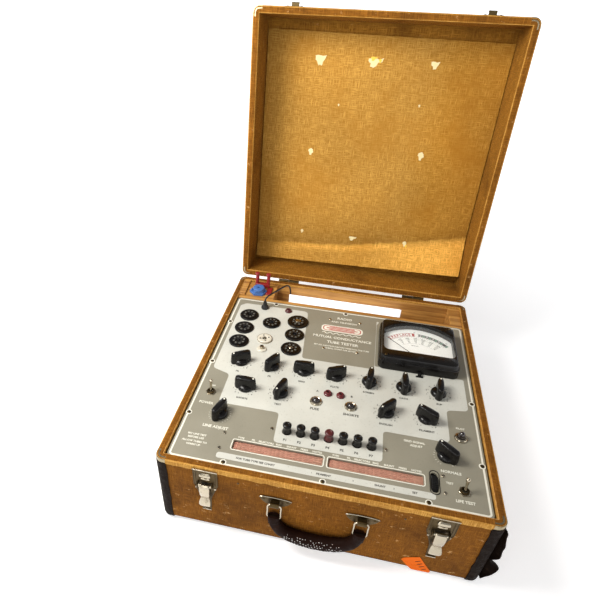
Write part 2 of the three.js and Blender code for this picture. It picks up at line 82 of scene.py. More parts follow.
# ---------------------------------------------------------------- camera, floor and light
CAMERA_PLACE = (-5.5, -589.2, 647.4)
FLOOR_RINGS = ((1, 0), (3, 0), (5, 0), (6, 0.1), (6.8, 0.5), (7.2, 1.2), (7.3, 2.8))
FLOOR_DROP = 0.0005
# The floor's glow by distance in metres: from, to, strength at the first, strength at the second; the dimmer
# glow near the case is painted shade round it.
FLOOR_GLOW = (0.5, 1.3, 0.52, 0.9)


def make_camera():
    """The camera stands above the front edge and looks down at the panel and the open lid."""
    azimuth = math.radians(11.32)
    elevation = math.radians(36.8)
    roll = math.radians(1.63)
    reach = math.cos(elevation)
    back = Vector((math.sin(azimuth) * reach, -math.cos(azimuth) * reach, math.sin(elevation)))
    level = (-back).cross(Vector((0, 0, 1))).normalized()
    upright = level.cross(-back)
    right = level * math.cos(roll) + upright * math.sin(roll)
    up = upright * math.cos(roll) - level * math.sin(roll)
    data = bpy.data.cameras.new("camera")
    data.sensor_width = 36.0
    data.lens = 29.33
    data.shift_x = 0.0615
    data.shift_y = 0.0365
    data.clip_start = 0.01
    camera = new_object("camera", data)
    place = Matrix((right, up, back)).transposed().to_4x4()
    place.translation = Vector(CAMERA_PLACE) * MM
    camera.matrix_world = place
    bpy.context.scene.camera = camera


def area_light(name, place, target, size, power, color=(1, 1, 1)):
    data = bpy.data.lights.new(name, "AREA")
    data.shape = "DISK"
    data.size = size
    data.energy = power
    data.color = color
    light = new_object(name, data)
    light.location = place
    aim = Vector(target) - Vector(place)
    light.rotation_euler = aim.to_track_quat("-Z", "Y").to_euler()
    light.visible_camera = False


def make_stage():
    """A pale floor that curves up into a low wall all round, a dim sky and one soft lamp."""
    world = bpy.data.worlds.new("studio")
    world.use_nodes = True
    background = world.node_tree.nodes["Background"]
    background.inputs["Color"].default_value = (1.0, 1.0, 1.0, 1)
    background.inputs["Strength"].default_value = 0.3
    bpy.context.scene.world = world
    bpy.context.scene.view_settings.view_transform = "Standard"
    area_light("key", (-0.56, -0.2, 0.84), (0, 0.03, 0.12), 0.42, 10.2, (1.0, 0.975, 0.93))
    area_light("fill", (-0.3, -1.0, 1.0), (-0.1, 0.3, 0.35), 0.6, 2.6, (1.0, 0.98, 0.94))
    bm = bmesh.new()
    steps = 48
    rings = [[bm.verts.new((0, 0, -FLOOR_DROP))]]
    for radius, height in FLOOR_RINGS:
        corners = (on_circle(2 * math.pi * k / steps, radius) for k in range(steps))
        rings.append([bm.verts.new((x, y, height - FLOOR_DROP)) for x, y in corners])
    for low, high in zip(rings, rings[1:]):
        for k in range(steps):
            j = (k + 1) % steps
            bm.faces.new((low[0], high[k], high[j]) if len(low) == 1 else (low[k], high[k], high[j], low[j]))
    mesh = bpy.data.meshes.new("floor")
    bm.to_mesh(mesh)
    bm.free()
    mesh.shade_smooth()
    floor = new_object("floor", mesh)
    material = bpy.data.materials.new("floor")
    material.use_nodes = True
    bsdf = material.node_tree.nodes["Principled BSDF"]
    bsdf.inputs["Base Color"].default_value = (0.8, 0.8, 0.81, 1)
    bsdf.inputs["Roughness"].default_value = 0.9
    bsdf.inputs["Emission Color"].default_value = (1, 1, 1, 1)
    tree = material.node_tree
    where = tree.nodes.new("ShaderNodeTexCoord")
    distance = tree.nodes.new("ShaderNodeVectorMath")
    distance.operation = "LENGTH"
    glow = tree.nodes.new("ShaderNodeMapRange")
    for socket, value in zip(glow.inputs[1:5], FLOOR_GLOW):
        socket.default_value = value
    tree.links.new(where.outputs["Object"], distance.inputs[0])
    tree.links.new(distance.outputs["Value"], glow.inputs["Value"])
    tree.links.new(glow.outputs["Result"], bsdf.inputs["Emission Strength"])
    mesh.materials.append(material)


make_camera()
make_stage()


# ---------------------------------------------------------------- material building
def srgb(red, green, blue):
    """A colour given as 0-255 screen values, as linear light."""
    values = []
    for value in (red, green, blue):
        value /= 255
        values.append(value / 12.92 if value <= 0.04045 else ((value + 0.055) / 1.055) ** 2.4)
    return tuple(values)


class Shader:
    """A Principled material and the nodes that vary its colour, roughness and bump."""

    def __init__(self, name, color, roughness, metallic=0.0, **sockets):
        self.material = bpy.data.materials.new(name)
        self.material.use_nodes = True
        self.tree = self.material.node_tree
        self.bsdf = self.tree.nodes["Principled BSDF"]
        self.bsdf.inputs["Base Color"].default_value = (*color, 1)
        self.bsdf.inputs["Roughness"].default_value = roughness
        self.bsdf.inputs["Metallic"].default_value = metallic
        for key, value in sockets.items():
            self.bsdf.inputs[key.replace("_", " ")].default_value = value

    def put(self, socket, value):
        if isinstance(value, bpy.types.NodeSocket):
            self.tree.links.new(value, socket)
        elif isinstance(value, tuple) and len(value) == 3 and socket.type == "RGBA":
            socket.default_value = (*value, 1)
        else:
            socket.default_value = value

    def node(self, kind, inputs=(), **properties):
        made = self.tree.nodes.new(kind)
        for key, value in properties.items():
            setattr(made, key, value)
        for key, value in dict(inputs).items():
            self.put(made.inputs[key], value)
        return made

    def place(self, kind="Object"):
        return self.node("ShaderNodeTexCoord").outputs[kind]

    def stretched(self, vector, scale, turn=0.0):
        inputs = {"Vector": vector, "Scale": scale, "Rotation": (0, 0, math.radians(turn))}
        return self.node("ShaderNodeMapping", inputs).outputs["Vector"]

    def noise(self, vector, scale, detail=3.0, roughness=0.55):
        inputs = {"Vector": vector, "Scale": scale, "Detail": detail, "Roughness": roughness}
        return self.node("ShaderNodeTexNoise", inputs).outputs["Fac"]

    def cells(self, vector, scale, feature="F1"):
        inputs = {"Vector": vector, "Scale": scale}
        return self.node("ShaderNodeTexVoronoi", inputs, feature=feature).outputs["Distance"]

    def math(self, operation, first, second=0.0):
        return self.node("ShaderNodeMath", {0: first, 1: second}, operation=operation).outputs[0]

    def split(self, vector):
        return self.node("ShaderNodeSeparateXYZ", {"Vector": vector}).outputs

    def ramp(self, factor, low, high, out_low=0.0, out_high=1.0):
        """factor from low to high, taken smoothly to out_low to out_high."""
        inputs = {"Value": factor, "From Min": low, "From Max": high, "To Min": out_low, "To Max": out_high}
        return self.node("ShaderNodeMapRange", inputs, interpolation_type="SMOOTHSTEP").outputs["Result"]

    def mix(self, factor, first, second, blend="MIX"):
        made = self.node("ShaderNodeMix", data_type="RGBA", blend_type=blend)
        self.put(made.inputs["Factor"], factor)
        first_color, second_color = (made.inputs[i] for i in (6, 7))
        self.put(first_color, first)
        self.put(second_color, second)
        return made.outputs[2]

    def color(self, value):
        self.put(self.bsdf.inputs["Base Color"], value)

    def roughness(self, value):
        self.put(self.bsdf.inputs["Roughness"], value)

    def bump(self, height, strength, distance_mm):
        inputs = {"Height": height, "Strength": strength, "Distance": distance_mm * MM}
        made = self.node("ShaderNodeBump", inputs)
        self.put(self.bsdf.inputs["Normal"], made.outputs["Normal"])


def mottled(name, color, roughness, metallic=0.0, vary=0.12, grain=220.0, bump=0.05, dirt=None, **sockets):
    """A moulded, cast or plated finish: fine grain, slow variation and grime in patches."""
    made = Shader(name, color, roughness, metallic, **sockets)
    where = made.place()
    slow = made.noise(where, 28.0, 4.0)
    fine = made.noise(where, grain * 6, 2.0)
    darker = tuple(c * (1 - vary) for c in color)
    lighter = tuple(min(1.0, c * (1 + vary)) for c in color)
    base = made.mix(slow, darker, lighter)
    if dirt:
        patches = made.ramp(made.noise(where, 75.0, 5.0, 0.7), 0.52, 0.72, 0.0, 0.55)
        base = made.mix(patches, base, dirt)
    made.color(base)
    made.roughness(made.ramp(slow, 0.25, 0.75, max(0.03, roughness - 0.08), min(1.0, roughness + 0.12)))
    made.bump(fine, bump, 0.4)
    return made.material


def tweed(name, light, dark, grime, wear=0.0, pitch=0.85, soil_z=None, tint=None):
    """Open-weave cloth glued to board: threads both ways, slubs, stains and rubbed spots."""
    made = Shader(name, light, 0.9, Specular_IOR_Level=0.1)
    uv = made.place("UV")
    axes = made.split(uv)
    turns = 2 * math.pi / (pitch * MM)
    warp = made.math("SINE", made.math("MULTIPLY", axes["X"], turns))
    weft = made.math("SINE", made.math("MULTIPLY", axes["Y"], turns))
    checks = made.math("MULTIPLY", warp, weft)
    along = made.noise(made.stretched(uv, (60, 1300, 1)), 1.0, 2.0)
    across = made.noise(made.stretched(uv, (1300, 60, 1)), 1.0, 2.0)
    slubs = made.math("MAXIMUM", along, across)
    threads = made.mix(made.ramp(slubs, 0.46, 0.68), dark, light)
    threads = made.mix(made.ramp(checks, -0.8, 0.8, 0.0, 0.35), threads, light)
    blotch = made.noise(uv, 9.0, 6.0, 0.62)
    threads = made.mix(made.ramp(blotch, 0.42, 0.74, 0.0, 0.75), threads, grime)
    specks = made.ramp(made.noise(uv, 420.0, 3.0, 0.8), 0.62, 0.74, 0.0, 0.5)
    threads = made.mix(specks, threads, tuple(c * 0.55 for c in dark))
    if wear:
        rubbed = made.ramp(made.noise(made.stretched(uv, (70, 110, 1)), 1.0, 6.0, 0.7), 0.6, 0.7, 0.0, wear)
        threads = made.mix(rubbed, threads, srgb(214, 170, 110))
    if soil_z:
        # Darker towards the bottom edge: partly soil, partly painted shade where the case meets the floor.
        height = made.split(made.place("Object"))["Z"]
        wobble = made.math("MULTIPLY", made.noise(uv, 60.0, 3.0), 5 * MM)
        low = made.ramp(made.math("SUBTRACT", height, wobble), 0.0, soil_z * MM, 0.85, 0.0)
        threads = made.mix(low, threads, srgb(38, 24, 12))
    # Vertex colours multiplied in: on the liner they carry painted light and shade along its crease.
    if tint:
        shade = made.node("ShaderNodeVertexColor", layer_name=tint).outputs["Color"]
        threads = made.mix(1.0, threads, shade, "MULTIPLY")
    made.color(threads)
    relief = made.math("ADD", made.math("MULTIPLY", checks, 0.5), slubs)
    made.bump(relief, 0.55, 0.35)
    return made.material


def timber(name, light, dark, axis="X"):
    """Varnished softwood with its grain along one axis."""
    made = Shader(name, light, 0.55, Coat_Weight=0.15, Coat_Roughness=0.35)
    scale = (6, 170, 170) if axis == "X" else (170, 6, 170)
    where = made.place()
    grain = made.noise(made.stretched(where, scale), 1.0, 5.0, 0.65)
    slow = made.noise(where, 12.0, 3.0)
    wood = made.mix(made.ramp(grain, 0.35, 0.65), dark, light)
    wood = made.mix(made.ramp(slow, 0.45, 0.8, 0.0, 0.5), wood, srgb(120, 78, 34))
    made.color(wood)
    made.bump(grain, 0.2, 0.3)
    return made.material


def leather(name, color, worn, gloss):
    made = Shader(name, color, 0.5, Specular_IOR_Level=gloss)
    where = made.place()
    pebbles = made.cells(where, 900.0)
    creases = made.noise(where, 160.0, 6.0, 0.7)
    rubbed = made.ramp(made.noise(where, 55.0, 5.0, 0.7), 0.55, 0.75, 0.0, 0.6)
    made.color(made.mix(rubbed, color, worn))
    made.roughness(made.ramp(creases, 0.3, 0.7, 0.38, 0.7))
    relief = made.math("ADD", pebbles, creases)
    made.bump(relief, 0.5, 0.5)
    return made.material


def enamel(name, color, speck, chips):
    """Baked enamel on steel: fine specks of age, faint stains and rubbed lines."""
    made = Shader(name, color, 0.45, Specular_IOR_Level=0.4)
    where = made.place()
    slow = made.noise(where, 14.0, 5.0, 0.6)
    darker, lighter = (tuple(c * share for c in color) for share in (0.93, 1.05))
    base = made.mix(made.ramp(slow, 0.3, 0.75), darker, lighter)
    specks = made.ramp(made.noise(where, 520.0, 2.0, 0.6), 0.64, 0.72, 0.0, speck)
    base = made.mix(specks, base, chips)
    stains = made.ramp(made.noise(where, 90.0, 6.0, 0.72), 0.6, 0.78, 0.0, 0.35)
    base = made.mix(stains, base, tuple(c * 0.6 for c in color))
    made.color(base)
    made.roughness(made.ramp(slow, 0.3, 0.7, 0.36, 0.56))
    made.bump(made.noise(where, 700.0, 2.0), 0.08, 0.15)
    return made.material


MATERIALS = {}


def linear(value):
    return srgb(*value) if isinstance(value, tuple) and len(value) == 3 else value


def make(build, name, *values, **options):
    """Builds one material and keeps it by name; its colours are 0-255 screen values."""
    values = [linear(value) for value in values]
    options = {key: linear(value) for key, value in options.items()}
    MATERIALS[name] = build(name, *values, **options)


# The side cloth is darker and browner than the golden rim tape: partly age and wear, partly painted shade on
# the sides against painted light on the rim.
make(tweed, "tweed_front", (146, 93, 29), (92, 54, 12), (68, 40, 10), wear=0.6, soil_z=7)
make(tweed, "tweed_rim", (214, 164, 84), (150, 100, 32), (128, 80, 30))
make(tweed, "tweed_lid", (166, 116, 42), (110, 70, 18), (76, 44, 10), wear=0.15)
make(tweed, "tweed_liner", (199, 152, 73), (140, 96, 32), (160, 110, 38), pitch=0.9, tint="fold")
make(timber, "wood", (198, 146, 74), (142, 92, 36))
make(leather, "leather", (24, 16, 11), (52, 36, 26), gloss=0.03)
make(leather, "handle_leather", (27, 13, 8), (48, 26, 16), gloss=0.04)
make(enamel, "taupe", (138, 133, 117), 0.35, (96, 90, 76))
make(enamel, "cream", (199, 198, 188), 0.45, (120, 114, 94))
make(enamel, "white_ink", (226, 223, 208), 0.2, (170, 166, 150))
make(mottled, "green_ink", (120, 150, 130), 0.6, vary=0.1)
make(mottled, "chart_ink", (186, 122, 104), 0.7, vary=0.15)
make(mottled, "dial_grey", (120, 120, 112), 0.7, vary=0.1)
make(mottled, "dark_ink", (58, 56, 50), 0.6, vary=0.2)
make(mottled, "red_ink", (176, 52, 44), 0.55, vary=0.15)
make(mottled, "bakelite", (14, 12, 11), 0.24, vary=0.25, bump=0.06, Specular_IOR_Level=0.3)
make(mottled, "matt_black", (15, 14, 13), 0.5, vary=0.3, Specular_IOR_Level=0.25)
# Near-black standing in for the dark inside holes, bores and slots, which is painted shade; the price sticker
# also uses it as ink.
make(mottled, "hole", (6, 6, 6), 0.9, vary=0.2)
make(mottled, "maroon", (74, 20, 22), 0.28, vary=0.2)
make(mottled, "jack_red", (92, 20, 26), 0.3, vary=0.15)
make(mottled, "red_plastic", (136, 30, 32), 0.35, vary=0.1)
make(mottled, "blue_plastic", (66, 108, 170), 0.4, vary=0.15)
make(mottled, "ceramic", (206, 200, 184), 0.22, vary=0.06, dirt=(168, 150, 120))
make(mottled, "nickel", (182, 172, 152), 0.2, 1.0, vary=0.24, bump=0.08, dirt=(104, 90, 66))
make(mottled, "dull_nickel", (84, 70, 46), 0.36, 1.0, vary=0.3, bump=0.12, dirt=(44, 33, 18))
make(mottled, "cap_metal", (164, 150, 120), 0.28, 1.0, vary=0.3, bump=0.12, dirt=(74, 58, 34))
make(mottled, "steel", (150, 150, 150), 0.4, 0.9, vary=0.15)
# The booklet's paper glows: its emission is painted light that brightens it in the compartment's shade.
make(mottled, "paper", (250, 250, 252), 0.85, vary=0.02, Emission_Color=(1, 1, 1, 1), Emission_Strength=0.3)
make(mottled, "dial_white", (250, 250, 244), 0.7, vary=0.03)
make(mottled, "chart", (226, 168, 142), 0.8, vary=0.12)
make(mottled, "rubber", (22, 22, 22), 0.5, vary=0.25)
make(mottled, "orange", (216, 98, 8), 0.7, vary=0.1, Specular_IOR_Level=0.15)
make(mottled, "old_paper", (216, 200, 150), 0.85, vary=0.12)
# The stitching's bright white is real thread and also painted glints on the handle.
make(mottled, "thread", (236, 226, 214), 0.18, vary=0.5, grain=60.0, Coat_Weight=0.5)
make(mottled, "glue", (232, 186, 60), 0.5, vary=0.2)
make(mottled, "lamp_glass", (34, 26, 24), 0.08, vary=0.2, Coat_Weight=0.6)
make(mottled, "glass", (235, 240, 240), 0.05, vary=0.02, bump=0.0, Alpha=0.12)


# ---------------------------------------------------------------- mesh building
def box_uv(mesh):
    """Lays each face's UVs flat along its main direction, in metres."""
    layer = mesh.uv_layers.new(name="flat").data if not mesh.uv_layers else mesh.uv_layers[0].data
    for face in mesh.polygons:
        n = [abs(c) for c in face.normal]
        axes = (0, 1) if n[2] >= max(n[0], n[1]) else (0, 2) if n[1] >= n[0] else (1, 2)
        for corner in face.loop_indices:
            point = mesh.vertices[mesh.loops[corner].vertex_index].co
            layer[corner].uv = (point[axes[0]], point[axes[1]])


def from_bmesh(name, bm, material, smooth=35.0):
    """Turns a bmesh in millimetres into an object in metres with flat UVs."""
    bmesh.ops.recalc_face_normals(bm, faces=bm.faces[:])
    mesh = bpy.data.meshes.new(name)
    bm.to_mesh(mesh)
    bm.free()
    mesh.transform(Matrix.Scale(MM, 4))
    box_uv(mesh)
    mesh.materials.append(MATERIALS[material])
    made = new_object(name, mesh)
    if smooth:
        mesh.shade_smooth()
        mesh.set_sharp_from_angle(angle=math.radians(smooth))
    return made


def bevel(piece, width, segments=2, angle=30.0):
    modifier = piece.modifiers.new("bevel", "BEVEL")
    modifier.width = width * MM
    modifier.segments = segments
    modifier.limit_method = "ANGLE"
    modifier.angle_limit = math.radians(angle)
    modifier.harden_normals = False
    return piece


def add_box(bm, low, high, turn=None):
    size = [b - a for a, b in zip(low, high)]
    middle = Vector([(a + b) / 2 for a, b in zip(low, high)])
    matrix = Matrix.Translation(middle) @ Matrix.Diagonal((*size, 1))
    if turn is not None:
        matrix = turn @ matrix
    bmesh.ops.create_cube(bm, size=1.0, matrix=matrix)


def add_lathe(bm, profile, segments=24, matrix=None):
    """Turns (radius, height) points about Z; ends on the axis are closed to a point."""
    rings = []
    for radius, height in profile:
        if radius < 1e-6:
            rings.append([bm.verts.new((0, 0, height))])
            continue
        corners = (on_circle(2 * math.pi * i / segments, radius) for i in range(segments))
        rings.append([bm.verts.new((x, y, height)) for x, y in corners])
    closed = profile[0] == profile[-1] and profile[0][0] > 1e-6
    if closed:
        bmesh.ops.delete(bm, geom=rings[-1], context="VERTS")
        rings[-1] = rings[0]
    for low, high in zip(rings, rings[1:]):
        for i in range(segments):
            j = (i + 1) % segments
            if len(low) == 1 and len(high) == 1:
                break
            if len(low) == 1:
                bm.faces.new((low[0], high[j], high[i]))
            elif len(high) == 1:
                bm.faces.new((low[i], low[j], high[0]))
            else:
                bm.faces.new((low[i], low[j], high[j], high[i]))
    if matrix is not None:
        bmesh.ops.transform(bm, matrix=matrix, verts=list({v for ring in rings for v in ring}))


def at(x, y, z, turn_z=0.0):
    return Matrix.Translation((x, y, z)) @ Matrix.Rotation(math.radians(turn_z), 4, "Z")


def along(axis, x, y, z):
    """A matrix that lays a shape's own Z along another axis, at a place."""
    turns = {
        "X": Matrix.Rotation(math.pi / 2, 4, "Y"), "-X": Matrix.Rotation(-math.pi / 2, 4, "Y"),
        "-Y": Matrix.Rotation(math.pi / 2, 4, "X"), "Y": Matrix.Rotation(-math.pi / 2, 4, "X"),
    }
    return Matrix.Translation((x, y, z)) @ turns[axis]


def rounded(x0, x1, y0, y1, r, steps=5):
    """Corner points of a rectangle with round corners, anticlockwise from the right side."""
    points = []
    centres = [(x1 - r, y1 - r), (x0 + r, y1 - r), (x0 + r, y0 + r), (x1 - r, y0 + r)]
    for quarter, (cx, cy) in enumerate(centres):
        for i in range(steps + 1):
            a = (quarter + i / steps) * math.pi / 2
            points.append((cx + r * math.cos(a), cy + r * math.sin(a)))
    return points


def add_prism(bm, outline, z0, z1, holes=()):
    """Raises a flat outline, with holes if any, from z0 to z1."""
    if not holes:
        low = [bm.verts.new((x, y, z0)) for x, y in outline]
        high = [bm.verts.new((x, y, z1)) for x, y in outline]
        bm.faces.new(low[::-1])
        bm.faces.new(high)
        for i in range(len(outline)):
            j = (i + 1) % len(outline)
            bm.faces.new((low[i], low[j], high[j], high[i]))
        return low + high
    edges = []
    for loop in (outline, *holes):
        verts = [bm.verts.new((x, y, z0)) for x, y in loop]
        edges += [bm.edges.new((a, b)) for a, b in zip(verts, verts[1:] + verts[:1])]
    filled = bmesh.ops.triangle_fill(bm, edges=edges, use_beauty=True, use_dissolve=False)
    faces = [g for g in filled["geom"] if isinstance(g, bmesh.types.BMFace)]
    raised = bmesh.ops.extrude_face_region(bm, geom=faces)["geom"]
    verts = [g for g in raised if isinstance(g, bmesh.types.BMVert)]
    bmesh.ops.translate(bm, verts=verts, vec=(0, 0, z1 - z0))
    return verts


def add_tube(bm, path, radius, sides=10, squash=(1.0, 1.0)):
    """Sweeps a round or flattened section along points and closes its ends."""
    points = [Vector(p) for p in path]
    normal = None
    rings = []
    for i, point in enumerate(points):
        ahead = points[min(i + 1, len(points) - 1)] - points[max(i - 1, 0)]
        tangent = ahead.normalized()
        if normal is None:
            guide = Vector((0, 1, 0)) if abs(tangent.y) < 0.9 else Vector((1, 0, 0))
            normal = (guide - tangent * guide.dot(tangent)).normalized()
        else:
            normal = (normal - tangent * normal.dot(tangent)).normalized()
        side = tangent.cross(normal)
        ring = []
        for k in range(sides):
            a = 2 * math.pi * k / sides
            offset = normal * math.cos(a) * squash[0] + side * math.sin(a) * squash[1]
            ring.append(bm.verts.new(point + offset * radius))
        rings.append(ring)
    join_rows(bm, rings)
    bm.faces.new(rings[0][::-1])
    bm.faces.new(rings[-1])


def smooth_path(points, steps):
    """Catmull-Rom curve through given points, resampled evenly."""
    pts = [Vector(p) for p in points]
    pts = [pts[0] * 2 - pts[1], *pts, pts[-1] * 2 - pts[-2]]
    dense = []
    for i in range(1, len(pts) - 2):
        for k in range(24):
            t = k / 24
            a, b, c, d = pts[i - 1 : i + 3]
            square, cube = 2 * a - 5 * b + 4 * c - d, 3 * b - a - 3 * c + d
            dense.append(0.5 * ((2 * b) + (c - a) * t + square * t**2 + cube * t**3))
    dense.append(pts[-2])
    return resample(dense, steps)


def resample(points, steps):
    lengths = [0.0]
    for a, b in zip(points, points[1:]):
        lengths.append(lengths[-1] + (b - a).length)
    out = []
    k = 0
    for i in range(steps + 1):
        goal = lengths[-1] * i / steps
        while k < len(lengths) - 2 and lengths[k + 1] < goal:
            k += 1
        span = max(lengths[k + 1] - lengths[k], 1e-9)
        out.append(points[k].lerp(points[k + 1], min(1.0, (goal - lengths[k]) / span)))
    return out


def lettering(name, words, material, z, thick=0.12, bold=0.035):
    """Printed words as one thin raised piece; a word is (text, x, y, height) and its angle, if any."""
    bm = bmesh.new()
    for text, x, y, height, *angle in words:
        curve = bpy.data.curves.new("word", "FONT")
        curve.body = text
        curve.size = height * 1.38
        curve.align_x = "CENTER"
        curve.align_y = "CENTER"
        curve.extrude = thick / 2
        curve.offset = height * bold
        curve.resolution_u = 2
        holder = new_object("word", curve)
        bpy.context.view_layer.update()
        mesh = holder.to_mesh()
        mesh.transform(at(x, y, z + thick / 2, *angle))
        bm.from_mesh(mesh)
        holder.to_mesh_clear()
        bpy.data.objects.remove(holder)
        bpy.data.curves.remove(curve)
    return from_bmesh(name, bm, material, smooth=0)


def show(piece, body, slot, *replaced):
    """Puts a finished piece on its body and hides the CAD nodes it stands for; its slot is not used."""
    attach(piece, body)
    if replaced:
        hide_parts(*replaced)
    return piece


def add_piece(name, bm, material, body, slot, *replaced, smooth=35.0, edge=0.0, segments=2):
    """Makes a bmesh into a piece, rounds its edges by edge millimetres if asked, and shows it."""
    piece = from_bmesh(name, bm, material, smooth)
    if edge:
        bevel(piece, edge, segments)
    return show(piece, body, slot, *replaced)


def add_turned(name, profile, segments, place, material, body, slot, smooth=35.0):
    """A piece that is one lathed shape at a place."""
    bm = bmesh.new()
    add_lathe(bm, profile, segments, place)
    return add_piece(name, bm, material, body, slot, smooth=smooth)


# ---------------------------------------------------------------- places taken from the frame
def mm_box(node):
    low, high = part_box(node)
    return low / MM, high / MM


def joint_place(joint):
    return [c / MM for c in joint["pos_m"]]


def node_copy(node, name, material):
    """An object with a CAD node's own shape and another material."""
    mesh = frame["nodes"][node].data.copy()
    mesh.name = name
    mesh.materials.clear()
    mesh.materials.append(MATERIALS[material])
    return new_object(name, mesh)


BASE_LOW, BASE_HIGH = mm_box("base_case")
PANEL_LOW, PANEL_HIGH = mm_box("panel")
METER_LOW, METER_HIGH = mm_box("meter_case")
HALF_W = BASE_HIGH.x
HALF_D = BASE_HIGH.y
RIM_Z = BASE_HIGH.z
TOP = PANEL_HIGH.z
WALL = 9.5
LID_SEAM = 0.4
LID_DEPTH = 85.0
LID_TOP_T = 5.0
FLOOR_T = 8.0
CORNER_R = 10.0
EDGE_R = 8.0
PIN = Vector(JOINTS["lid_hinge"]["pos_m"]) / MM
LID_ANGLE = math.radians(JOINTS["lid_hinge"]["range_deg"][1])
# Lid pieces are drawn with the lid shut; this swings them open about the hinge pins.
OPEN = (
    Matrix.Translation(PIN * MM)
    @ Matrix.Rotation(-LID_ANGLE, 4, "X")
    @ Matrix.Translation(-PIN * MM)
)


def lid_piece(piece, slot, *replaced):
    piece.matrix_world = OPEN
    return show(piece, "lid", slot, *replaced)


# ---------------------------------------------------------------- grid-cap lead
LEAD_R = 1.5
LEAD_ROUTE = [
    (-147.5, 134.5, 141.5), (-147.3, 134.8, 146), (-145.5, 138, 149.5), (-141, 144, 151.5),
    (-135, 152.5, 152.5), (-128, 162, 153.5), (-121.5, 172, 154), (-116.5, 182, 152), (-113, 190, 146),
    (-111.3, 196.5, 136), (-111, 201.5, 124), (-111.2, 205.5, 110), (-111.6, 208.5, 92), (-112, 210.5, 72),
    (-112.2, 212, 52), (-112, 212.8, 36), (-110.5, 213.3, 25),
]
COIL_MID = (-112.0, 197.0)
# The coil, as (degrees turned clockwise, ring radius, height): two layers of two rings.
COIL_STATIONS = [
    (0, 16.9, 18.2), (40, 18.0, 13.0), (300, 18.0, 13.0), (360, 14.9, 13.0), (600, 14.9, 13.0),
    (660, 14.9, 9.9), (900, 14.9, 9.9), (960, 18.0, 9.9), (1072, 18.2, 9.9),
]
COIL_START = 71.0
CLIP_MOUTH = (-87.0, 204.0, 12.7)


def coil_point(turned):
    for (t0, r0, z0), (t1, r1, z1) in zip(COIL_STATIONS, COIL_STATIONS[1:]):
        if turned <= t1:
            share = (turned - t0) / (t1 - t0)
            share = share * share * (3 - 2 * share)
            r, z = r0 + (r1 - r0) * share, z0 + (z1 - z0) * share
            break
    a = math.radians(COIL_START - turned)
    return COIL_MID[0] + r * math.cos(a), COIL_MID[1] + r * math.sin(a), z


def grid_cap_lead():
    """One limp wire from its bushing, over the divider and into a coil in the compartment."""
    route = [Vector(p) for p in LEAD_ROUTE]
    last = COIL_STATIONS[-1][0]
    route += [Vector(coil_point(t)) for t in range(0, last, 15)]
    route += [Vector((-101.5, 213.2, 10.2)), Vector((-95.5, 215.6, 11.4)), Vector((-90, 213.4, 12.4))]
    route += [Vector((-87.4, 208.6, 12.7)), Vector(CLIP_MOUTH)]
    line = smooth_path(route, 420)
    bm = bmesh.new()
    add_tube(bm, line, LEAD_R, 10)
    lead = from_bmesh("grid_cap_wire", bm, "rubber", 60)
    show(lead, "base", "black_rubber", "cap_lead", "cap_lead_coil")
    clip = bmesh.new()
    profile = [(0, 0), (2.0, 0), (2.3, 0.6), (2.6, 2.4), (4.0, 3.4), (4.2, 4.2), (4.2, 11.4), (4.0, 12.2)]
    profile += [(3.5, 12.6), (3.5, 13.3), (3.0, 13.5), (2.8, 12.6), (2.8, 8), (0, 7.8)]
    add_lathe(clip, profile, 28, along("-Y", *CLIP_MOUTH))
    cap = add_piece("grid_cap_clip", clip, "bakelite", "base", "bakelite", "cap_clip")
    boot = bmesh.new()
    x, y, _ = LEAD_ROUTE[0]
    z = TOP + 0.3
    profile = [(2.0, 13.2), (2.2, 13.7), (2.9, 13.7), (3.1, 12.8), (3.3, 9), (3.7, 6.4), (4.6, 5.0)]
    profile += [(6.2, 4.4), (6.8, 3.4), (6.8, 0.6), (6.2, 0), (2.0, 0), (2.0, 13.2)]
    add_lathe(boot, profile, 30, at(x, y, z))
    for k in range(4):
        ring = [(3.15, 7.6 + 1.3 * k), (3.75, 7.3 + 1.3 * k), (3.75, 6.9 + 1.3 * k), (3.2, 6.6 + 1.3 * k)]
        add_lathe(boot, [*ring, ring[0]], 24, at(x, y, z))
    add_piece("grid_cap_bushing", boot, "rubber", "base", "black_rubber", "cap_lead_bushing")


grid_cap_lead()


# ---------------------------------------------------------------- case, lid, bindings and guards
def case_outline(inset, straight=14, corner=6):
    """Points round the case at an inset from its sides, close enough together to be uneven."""
    x, y, r = HALF_W - inset, HALF_D - inset, max(CORNER_R - inset, 0.6)
    corners = rounded(-x, x, -y, y, r, corner)
    points = []
    for i, (a, b) in enumerate(zip(corners, corners[1:] + corners[:1])):
        points.append(a)
        if (i + 1) % (corner + 1) == 0:
            for k in range(1, straight):
                t = k / straight
                points.append((a[0] + (b[0] - a[0]) * t, a[1] + (b[1] - a[1]) * t))
    return points


def unevenness(point, amount):
    """Covered plywood is never quite flat: a slow wave and a finer one."""
    slow = noise.noise(Vector(point) * 0.012)
    fine = noise.noise(Vector(point) * 0.05 + Vector((9, 4, 2)))
    return (slow * 0.8 + fine * 0.35) * amount


